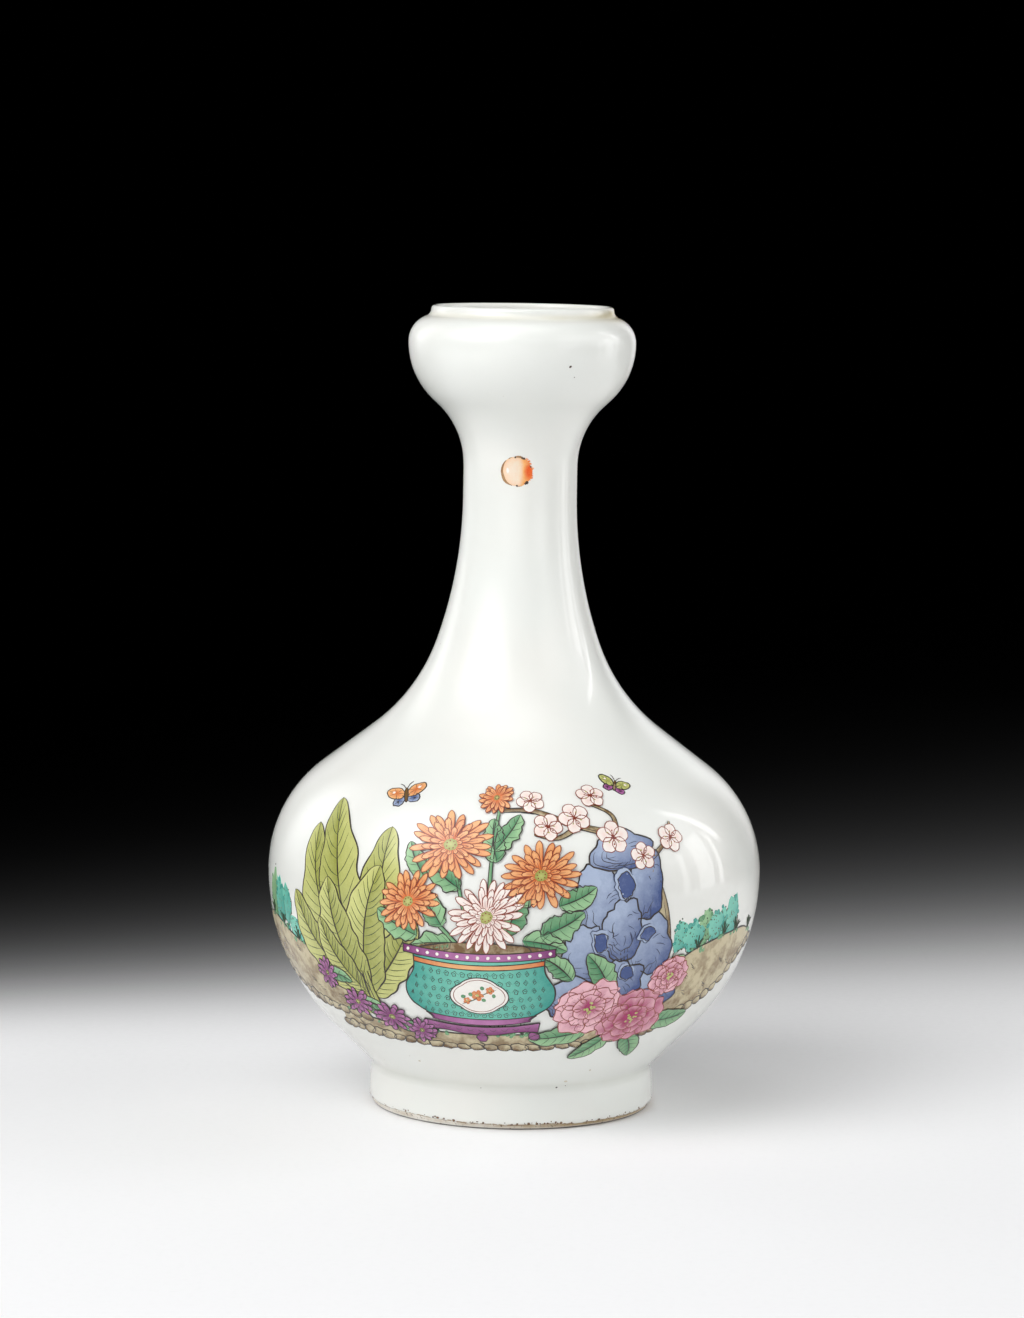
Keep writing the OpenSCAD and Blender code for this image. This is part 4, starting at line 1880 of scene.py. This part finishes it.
@dataclass
class Garden:
    """The garden painted round the front of the belly, from the ground up."""

    canvas: Canvas

    def paint(self) -> None:
        """Paint the motifs from the back to the front."""
        self.ground()
        self.plantain()
        self.rock()
        self.blossoming_branch()
        self.potted_flowers()
        self.peonies()
        self.asters()
        Butterfly(self.canvas, -31, 92, 24, 0.9).paint()
        Butterfly(self.canvas, 30, 95, -30, 0.72, wings=(Paint.YELLOW_GREEN, Paint.PURPLE)).paint()

    def ground(self) -> None:
        """Paint the banks at both ends, the strip between them and the shrubs behind."""
        shrubs = (
            (-70, 61, (7.0, 8.5), 3, 3), (-58, 54.5, (6.5, 6.0), 3, 4),
            (55, 58, (8.5, 6.0), 4, 5), (44, 56, (5.0, 5.0), 2, 6),
        )
        for turn, height, spread, bushes, seed in shrubs:
            Shrub(self.canvas, turn, height, seed=seed, spread_mm=spread, bushes=bushes).paint()
        Bank(
            self.canvas, -62, 44, level=6, seed=7,
            top=((-29, 6.5), (-21, 11), (-12, 10.5), (-4, 8), (6, 5), (20, 1)),
            under=((-29, 5.5), (-21, 1), (-12, -7), (-2, -11.5), (8, -13.5), (20, -15)),
        ).paint()
        Bank(
            self.canvas, 54, 44, level=6, seed=8,
            top=((-20, 1), (-10, 7), (0, 9.5), (9, 10.5), (18, 10.5), (26, 7)),
            under=((-20, -15), (-10, -13.5), (0, -10.5), (9, -5.5), (18, 2), (26, 6)),
        ).paint()
        Bank(
            self.canvas, -6, 28, level=6, seed=9, dabs=60, tufts=9,
            top=((-46, 7), (-30, 3.5), (-10, 2), (10, 2.4), (30, 4.5), (46, 8)),
            under=((-46, 0), (-30, -2.2), (-10, -3.6), (10, -3.4), (30, -1.6), (46, 1)),
        ).paint()

    def plantain(self) -> None:
        """Paint the broad-leaved plantain clump on the left."""
        leaves = (
            (34, 48, 15, 10, 0), (-20, 47, 15, -9, 0), (9, 55, 16, -5, 1), (60, 35, 12.5, 10, 1),
            (-50, 30, 11.5, -8, 1), (-5, 37, 14, 4, 2), (27, 33, 13, 5, 3), (48, 24, 9, 6, 4),
        )
        for k, (tilt, long, wide, bend, level) in enumerate(leaves):
            Leaf(
                self.canvas, -38, 39, tilt, level=8 + 2 * level, seed=20 + k, length_mm=long, width_mm=wide,
                bend_mm=bend, body=Paint.YELLOW_GREEN, veins=13, notch=0.09, line_mm=0.34,
            ).paint()
        for x, lean in ((-2.2, 3), (2.4, -2), (0, 0.5)):
            Branch(
                self.canvas, -38, 39, level=17, seed=31, points=((x, -7), (x * 0.6, -1), (lean * -0.4, 7)),
                widths=(3.4, 1.6), body=Paint.YELLOW_GREEN, bark=5,
            ).paint()

    def rock(self) -> None:
        """Paint the pierced blue rock on the right."""
        Rock(
            self.canvas, 25, 38, level=8, seed=40,
            lobes=(
                (-5, 27, 7, 13, 10), (6, 31, 6, 12, -14), (1, 43, 9, 5.5, 6),
                (-8, 15, 7, 10, 12), (8, 16, 7.5, 10, -8), (0, 23, 6, 8, 0),
                (-11, 3, 9, 6.5, 4), (10, 3, 10, 7, -6), (0, 7, 8, 7, 0),
            ),
            holes=((1, 34, 2.3, 3.2), (-6, 19, 1.9, 3.0), (8, 21, 2.3, 1.7), (2.5, 10, 1.8, 2.3)),
        ).paint()

    def blossoming_branch(self) -> None:
        """Paint the branch of white blossom that reaches in over the rock."""
        Branch(
            self.canvas, 33, 72, level=7.2, seed=50, widths=(3.4, 1.0), bark=14,
            points=((5, -22), (3, -8), (-2, 5), (-9, 12), (-19, 15.5), (-29, 20), (-37, 20)),
        ).paint()
        twigs = (
            ((-9, 11), (-8, 18), (-13, 22)),
            ((-19, 15), (-25, 12), (-31, 13)),
            ((-2, 4), (5, 9), (9, 15)),
        )
        for k, twig in enumerate(twigs):
            Branch(
                self.canvas, 33, 72, level=7.2, seed=51 + k, widths=(1.5, 0.6), bark=4, points=twig,
            ).paint()
        spots = (
            (24, 83, 4.6), (15, 88, 4.4), (8, 86, 4.0), (21, 93, 3.9),
            (4, 92, 3.7), (40, 82, 4.0), (31, 78, 3.8),
        )
        for k, (turn, height, radius) in enumerate(spots):
            Blossom(self.canvas, turn, height, 25 * k, level=12, seed=60 + k, radius_mm=radius).paint()

    def potted_flowers(self) -> None:
        """Paint the chrysanthemums and the flower pot that they grow in."""
        stems = (
            ((0, 0), (-4, 12), (-7, 26)),
            ((2, 0), (6, 10), (14, 20)),
            ((0, 0), (1, 6), (2, 12)),
            ((-4, 0), (-12, 8), (-19, 12)),
            ((3, 0), (3, 18), (4, 38)),
        )
        for k, stem in enumerate(stems):
            Branch(
                self.canvas, -8, 54, level=18, seed=70 + k, points=stem, widths=(1.2, 0.7), body=Paint.GREEN,
                bark=0,
            ).paint()
        leaves = (
            (-22, 57, 70, 13, 7), (-16, 60, 30, 12, 6.5), (-2, 58, -20, 12, 6.5), (6, 58, -70, 13, 7),
            (-12, 70, 60, 12, 6), (1, 66, -40, 11, 6), (-4, 77, 15, 12, 6), (10, 66, -75, 11, 6),
            (-20, 72, 40, 11, 5.5), (-14, 56, 95, 12, 6), (2, 57, -95, 12, 6), (-4.6, 80, -40, 12, 5),
        )
        self.foliage(leaves, seed=80, bend=2, veins=5, notch=0.16, stagger=1)
        heads = (
            (-15, 81, 11.4, 4, Paint.RED), (6, 74, 10.4, 4, Paint.RED), (-24, 66, 9.0, 3, Paint.RED),
            (-6, 63, 11.0, 4, Paint.WHITE), (-5, 92.5, 5.4, 2, Paint.RED),
        )
        for k, (turn, height, radius, rings, body) in enumerate(heads):
            Chrysanthemum(
                self.canvas, turn, height, 17 * k, level=21, seed=90 + k, radius_mm=radius, rings=rings,
                petals=9 + round(radius * 0.9), body=body,
            ).paint()
        Jardiniere(self.canvas, -8, 34.5, level=18).paint()

    def peonies(self) -> None:
        """Paint the peonies at the foot of the rock."""
        leaves = (
            (20, 31, 110, 15, 7), (24, 42, 25, 14, 7), (36, 41, -30, 13, 6.5), (38, 32, -95, 15, 7),
            (27, 29, 150, 12, 6), (14, 46, 40, 11, 5.5), (33, 29, -140, 12, 6),
        )
        self.foliage(leaves, seed=110, bend=2.5, veins=6, notch=0.1)
        blooms = ((19, 38, 9.8, 0.05, 120), (32, 34, 10.4, 0.5, 121), (40, 45, 6.4, 0.2, 122))
        for turn, height, radius, depth, seed in blooms:
            Peony(
                self.canvas, turn, height, seed % 50, level=22 + 3 * depth, seed=seed, radius_mm=radius,
                depth=depth,
            ).paint()

    def foliage(
        self, leaves: Sequence[tuple], seed: int, bend: float, veins: int, notch: float, stagger: float = 0
    ) -> None:
        """Paint leaves that bend to the right and to the left by turns.

        Args:
            leaves: turn, height, tilt, length and width of each leaf.
            seed: picks their ripples.
            bend: how far their tips bend, in millimetres.
            veins: side veins on each half.
            notch: depth of the ripples along the edge.
            stagger: how many layers every second leaf lies higher.
        """
        for k, (turn, height, tilt, long, wide) in enumerate(leaves):
            Leaf(
                self.canvas, turn, height, tilt, level=19 + stagger * (k % 2), seed=seed + k, length_mm=long,
                width_mm=wide, bend_mm=bend * (-1) ** k, veins=veins, notch=notch,
            ).paint()

    def asters(self) -> None:
        """Paint the small purple flowers on the left."""
        flowers = ((-33, 33, 6.0), (-43, 36, 5.4), (-25, 30, 5.0), (-51, 43, 4.8))
        for k, (turn, height, radius) in enumerate(flowers):
            Leaf(
                self.canvas, turn, height, 80 * (-1) ** k, level=19, seed=130 + k, length_mm=9, width_mm=4.5,
                veins=4,
            ).paint()
            Chrysanthemum(
                self.canvas, turn, height, 30 * k, level=21, seed=140 + k, radius_mm=radius, rings=2,
                petals=11, body=Paint.PURPLE, ink=Paint.INK,
            ).paint()


@dataclass
class Sun(Motif):
    """The red disc on the neck: pale where the brush lifted, with a broken dark outline."""

    half_wide: float = 4.35
    half_tall: float = 3.9

    @classmethod
    def on_node(cls, canvas: Canvas) -> "Sun":
        """Place the disc where the CAD model has it.

        Args:
            canvas: takes the enamel.

        Returns:
            The disc, drawn a little wider than tall.
        """
        wider, lower = 1.04, 0.97
        low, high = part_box("sun_enamel")
        middle = (low + high) / 2
        radius = (high.z - low.z) / 2 / MM
        turn = math.degrees(turn_of(middle))
        return cls(canvas, turn, middle.z / MM, half_wide=radius * wider, half_tall=radius * lower)

    def paint(self) -> None:
        """Paint the disc, its outline and the specks round it."""
        disc = blob((0, 0), (self.half_wide, self.half_tall), 0, 0.06, 4)

        def shade(u: float, v: float) -> float:
            """Nearly bare on the left, warmer at the edge, orange and then red on the right."""
            spot = disc(u, v)
            x, y = spot.x / self.half_wide, spot.y / self.half_tall
            turning = clamped((x - 0.08) / 0.42)
            core = max(0.0, 1 - ((x - 0.70) / 0.34) ** 2 - ((y + 0.02) / 0.62) ** 2)
            return 0.02 + 0.28 * u ** 4 + 0.44 * turning * turning * (3 - 2 * turning) + 0.5 * core

        self.patch(Paint.DISC, disc, 0, shade, True)
        bare = blob((-0.60 * self.half_wide, 0.04 * self.half_tall), (0.5, 0.95), 14, 0.2, 3)
        self.patch(Paint.WHITE, bare, 0.3, lambda u, v: 0.25 * u, True)
        strokes = (
            (0.37, 0.70, 0.62), (0.19, 0.275, 0.60), (0.30, 0.35, 0.2), (0.02, 0.08, 0.18), (0.74, 0.8, 0.2),
        )
        for start, end, width in strokes:
            self.line(Paint.RUST, edge_of(disc, start, end), width, 0.5, 0.3)
        specks = (
            (0.18, 0.42), (0.20, 0.34), (0.27, 0.30), (0.75, 0.36),
            (0.86, 0.46), (0.84, 0.30), (0.06, 0.24), (0.33, 0.16),
        )
        for turn, radius in specks:
            self.dab(Paint.IRON, disc(0.98, turn), radius, 1, 0.8)
        for _ in range(16):
            spot = disc(self.dice.uniform(0.97, 1.08), self.dice.uniform(-0.12, 0.16))
            self.dab(Paint.DISC, spot, self.dice.uniform(0.10, 0.28), 0.5, self.dice.uniform(0.5, 0.9))


@dataclass
class Flaws:
    """Iron specks, smudges and a scratch in the glaze."""

    canvas: Canvas
    clusters: int = 30
    spread_deg: float = 3.2
    rim_mm: float = 0.3
    fire_turn_deg: float = 25.0

    def paint(self) -> None:
        """Set the marks down where the photograph shows them, and a few more round the back."""
        specks = (
            (25.1, 204.7, 0.42), (28.3, 201.9, 0.16), (18.3, 11.6, 0.26), (22.0, 11.9, 0.16),
            (-12.0, 11.4, 0.14), (140.0, 120.0, 0.22), (200.0, 60.0, 0.26), (255.0, 180.0, 0.18),
            (170.0, 11.6, 0.24), (230.0, 35.0, 0.16),
        )
        for k, (turn, height, radius) in enumerate(specks):
            Motif(self.canvas, turn, height, seed=200 + k).dab(Paint.IRON, (0, 0), radius, 0, 0.9)
        Motif(self.canvas, 46.5, 31.3).line(Paint.STAIN, curve((-1.6, -0.7), (0, 0.1), (1.7, 0.5)), 0.16, 0)
        for turn, height, radius in ((21.4, 13.4, 0.5), (-33.0, 18.5, 0.35), (29.0, 16.8, 0.3)):
            Motif(self.canvas, turn, height).dab(Paint.STAIN, (0, 0), radius, 0, 0.3)
        self.rim()

    def edge_height(self, turn: float) -> float:
        """Height just above the wiped edge of the glaze, in millimetres, at a turn in degrees."""
        surface = self.canvas.surface
        return surface.outline[0].y + surface.edge_shift(math.radians(turn)) + self.rim_mm

    def rim(self) -> None:
        """Burn iron specks into the wiped edge of the glaze, in clusters round the foot."""
        dice = random.Random(17)
        burnt = (
            (-23, 0.42), (-10.8, 0.34), (0.6, 0.30), (7.2, 0.45),
            (10.4, 0.36), (13.6, 0.30), (20.5, 0.36), (25, 0.28),
        )
        for turn, radius in burnt:
            spot = Motif(self.canvas, turn, self.edge_height(turn), seed=290)
            spot.dab(Paint.IRON, (0, 0), radius, 0, 0.3)
        for cluster in range(self.clusters):
            centre = 360 * (cluster + dice.uniform(-0.4, 0.4)) / self.clusters
            crowd = round(3 * max(0.0, math.cos(math.radians(centre - self.fire_turn_deg))))
            for k in range(dice.randint(1, 6) + crowd):
                turn = centre + dice.gauss(0, self.spread_deg)
                height = self.edge_height(turn) + dice.random() ** 3 * 0.5
                dot = Motif(self.canvas, turn, height, seed=300 + k)
                dot.dab(Paint.IRON, (0, 0), dice.uniform(0.10, 0.34), 0, dice.uniform(0.0, 0.75))


@dataclass(frozen=True)
class Softbox:
    """An area light that faces the middle of the vase and fades out towards its edges.

    It hangs turn_deg round the vase from the camera, positive to the right, and rise_deg above level, at
    reach metres from the vase. Its size is its width and height in metres. Its power is what an even light
    of that size would have, and fade is the share of the way from the edge to the middle over which it
    brightens. Its head leans to the left by roll_deg, seen from the vase.
    """

    name: str
    turn_deg: float
    rise_deg: float
    reach: float
    size: tuple[float, float]
    watts: float
    fade: float = 1.0
    roll_deg: float = 0.0
    aim: tuple[float, float, float] = (0.0, 0.0, 0.1)

    def hang(self) -> None:
        """Make the light."""
        data = bpy.data.lights.new(self.name, "AREA")
        data.shape = "RECTANGLE"
        data.size, data.size_y = self.size
        data.energy = self.watts
        self.soften(data)
        light = placed(self.name, data)
        turn, rise = math.radians(self.turn_deg), math.radians(self.rise_deg)
        away = Vector((math.sin(turn) * math.cos(rise), -math.cos(turn) * math.cos(rise), math.sin(rise)))
        roll = Matrix.Rotation(math.radians(self.roll_deg), 4, "Z")
        facing = away.to_track_quat("Z", "Y").to_matrix().to_4x4() @ roll
        light.matrix_world = Matrix.Translation(Vector(self.aim) + away * self.reach) @ facing
        light.visible_camera = False

    def soften(self, light: bpy.types.Light) -> None:
        """Let the light fade out towards its edges.

        Args:
            light: the light's data.
        """
        light.use_nodes = True
        graph = Graph(light.node_tree)
        place = graph.make("ShaderNodeNewGeometry", output=5)
        glow: Operand = 1.0
        for index in (0, 1):
            side = graph.make("ShaderNodeSeparateXYZ", None, {0: place}, index)
            glow = graph.ramp(2 * side.least(1 - side), 0.0, self.fade) * glow
        colour = graph.mix(glow, (0, 0, 0, 1), (1, 1, 1, 1))
        panel = graph.node("ShaderNodeEmission", None, {"Color": colour})
        graph.node("ShaderNodeOutputLight", None, {"Surface": Socket(graph, panel.outputs[0])})


@dataclass
class Studio:
    """Floor, lights and camera, as the photograph has them."""

    camera_place: tuple[float, float, float] = (-0.001495, -1.18310, 0.25770)
    pitch_deg: float = 6.4845
    roll_deg: float = 0.888
    focal_px: float = 4334.35
    frame_px: tuple[int, int] = (1024, 1318)
    sensor_mm: float = 36.0
    clip: tuple[float, float] = (0.05, 50.0)
    floor_half: float = 6.0
    softboxes: tuple[Softbox, ...] = (
        Softbox("key_left", -48, 40, 1.5, (2.2, 1.8), 79.0),
        Softbox("front", -5, 22, 1.7, (2.4, 1.4), 6.0),
        Softbox("front_low", -12, 2, 1.6, (2.6, 0.9), 8.5),
        Softbox("overhead", -20, 76, 1.2, (1.6, 1.6), 15.0),
        Softbox("left_back", -125, 20, 0.9, (0.7, 1.1), 4.3),
        Softbox("far_left", -155, 15, 0.9, (0.6, 1.0), 1.1),
        Softbox("right_front", 55, 28, 1.5, (1.6, 1.6), 13.0),
        Softbox("right_low", 42, 5, 1.4, (1.2, 0.6), 4.0),
        Softbox("right_side", 95, 24, 1.0, (1.4, 1.2), 10.0),
        Softbox("far_right", 155, 15, 0.9, (0.6, 1.0), 2.3),
        Softbox("window", 100, 14, 0.95, (0.55, 0.85), 0.36, 0.15),
        Softbox("window_pane_near", 84, 2, 0.95, (0.06, 0.80), 0.28, 0.2),
        Softbox("window_pane", 98, 2, 0.95, (0.20, 0.80), 0.90, 0.12),
        Softbox("window_pane_far", 109, 1, 0.95, (0.06, 0.76), 0.28, 0.2),
        Softbox("window_arc", 110, 28, 0.95, (0.08, 0.66), 0.44, 0.4, 23),
    )

    def build(self) -> None:
        """Make the studio."""
        self.camera()
        self.floor()
        self.lights()

    def camera(self) -> None:
        """Stand the camera where the photograph was taken."""
        data = bpy.data.cameras.new("camera")
        data.sensor_width = self.sensor_mm
        data.lens = self.focal_px * self.sensor_mm / max(self.frame_px)
        data.clip_start, data.clip_end = self.clip
        camera = placed("camera", data)
        tilt = Euler((math.radians(90 - self.pitch_deg), 0, 0)).to_matrix()
        facing = (tilt @ Matrix.Rotation(math.radians(self.roll_deg), 3, "Z")).to_4x4()
        camera.matrix_world = Matrix.Translation(self.camera_place) @ facing
        bpy.context.scene.camera = camera

    def floor(self) -> None:
        """Lay the paper that the vase stands on."""
        mesh = bmesh.new()
        bmesh.ops.create_grid(mesh, x_segments=4, y_segments=4, size=self.floor_half)
        floor = mesh_object("studio_floor", mesh, FloorFinish().material())

    def lights(self) -> None:
        """Hang the softboxes and darken the room."""
        for softbox in self.softboxes:
            softbox.hang()
        world = bpy.data.worlds.new("dark_room")
        world.use_nodes = True
        world.node_tree.nodes["Background"].inputs[0].default_value = (0.0, 0.0, 0.0, 1)
        bpy.context.scene.world = world
        bpy.context.scene.view_settings.view_transform = "Standard"


def dress_clay(nodes: dict[str, bpy.types.Object]) -> None:
    """Give the clay sections and slip seams under the coats their biscuit.

    Args:
        nodes: the CAD nodes by name.
    """
    clay = BiscuitFinish("porcelain_biscuit", (0.66, 0.61, 0.52, 1), (0.52, 0.44, 0.34, 1)).material()
    slip = BiscuitFinish("slip_biscuit", (0.58, 0.52, 0.42, 1), (0.46, 0.38, 0.28, 1)).material()
    for name in ("lower_body", "upper_body", "neck", "garlic_mouth"):
        nodes[name].data.materials[0] = clay
    for name in ("foot_luting", "girth_luting", "shoulder_luting", "mouth_luting"):
        nodes[name].data.materials[0] = slip


def paintwork(surface: VaseSurface) -> None:
    """Paint the garden and the sun, and set the flaws in the glaze.

    Args:
        surface: the glazed outside.
    """
    garden = Canvas(surface, "garden")
    Garden(garden).paint()
    garden.finish()
    disc = Canvas(surface, "sun", cell_mm=0.5)
    Sun.on_node(disc).paint()
    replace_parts(disc.finish()[Paint.DISC], "sun_enamel")
    marks = Canvas(surface, "kiln_marks")
    Flaws(marks).paint()
    marks.finish()


def main() -> None:
    """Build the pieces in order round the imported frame."""
    logging.basicConfig(level=logging.INFO, format="%(name)s %(message)s")
    for old in list(bpy.data.objects):
        bpy.data.objects.remove(old)
    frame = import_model()
    nodes = frame["nodes"]
    surface = VaseSurface.of_nodes(nodes["outer_glaze"], nodes["foot_ring"])
    dress_clay(nodes)
    Coats(surface, nodes).build()
    Foot(nodes).build()
    paintwork(surface)
    Studio().build()


if __name__ == "__main__":
    main()
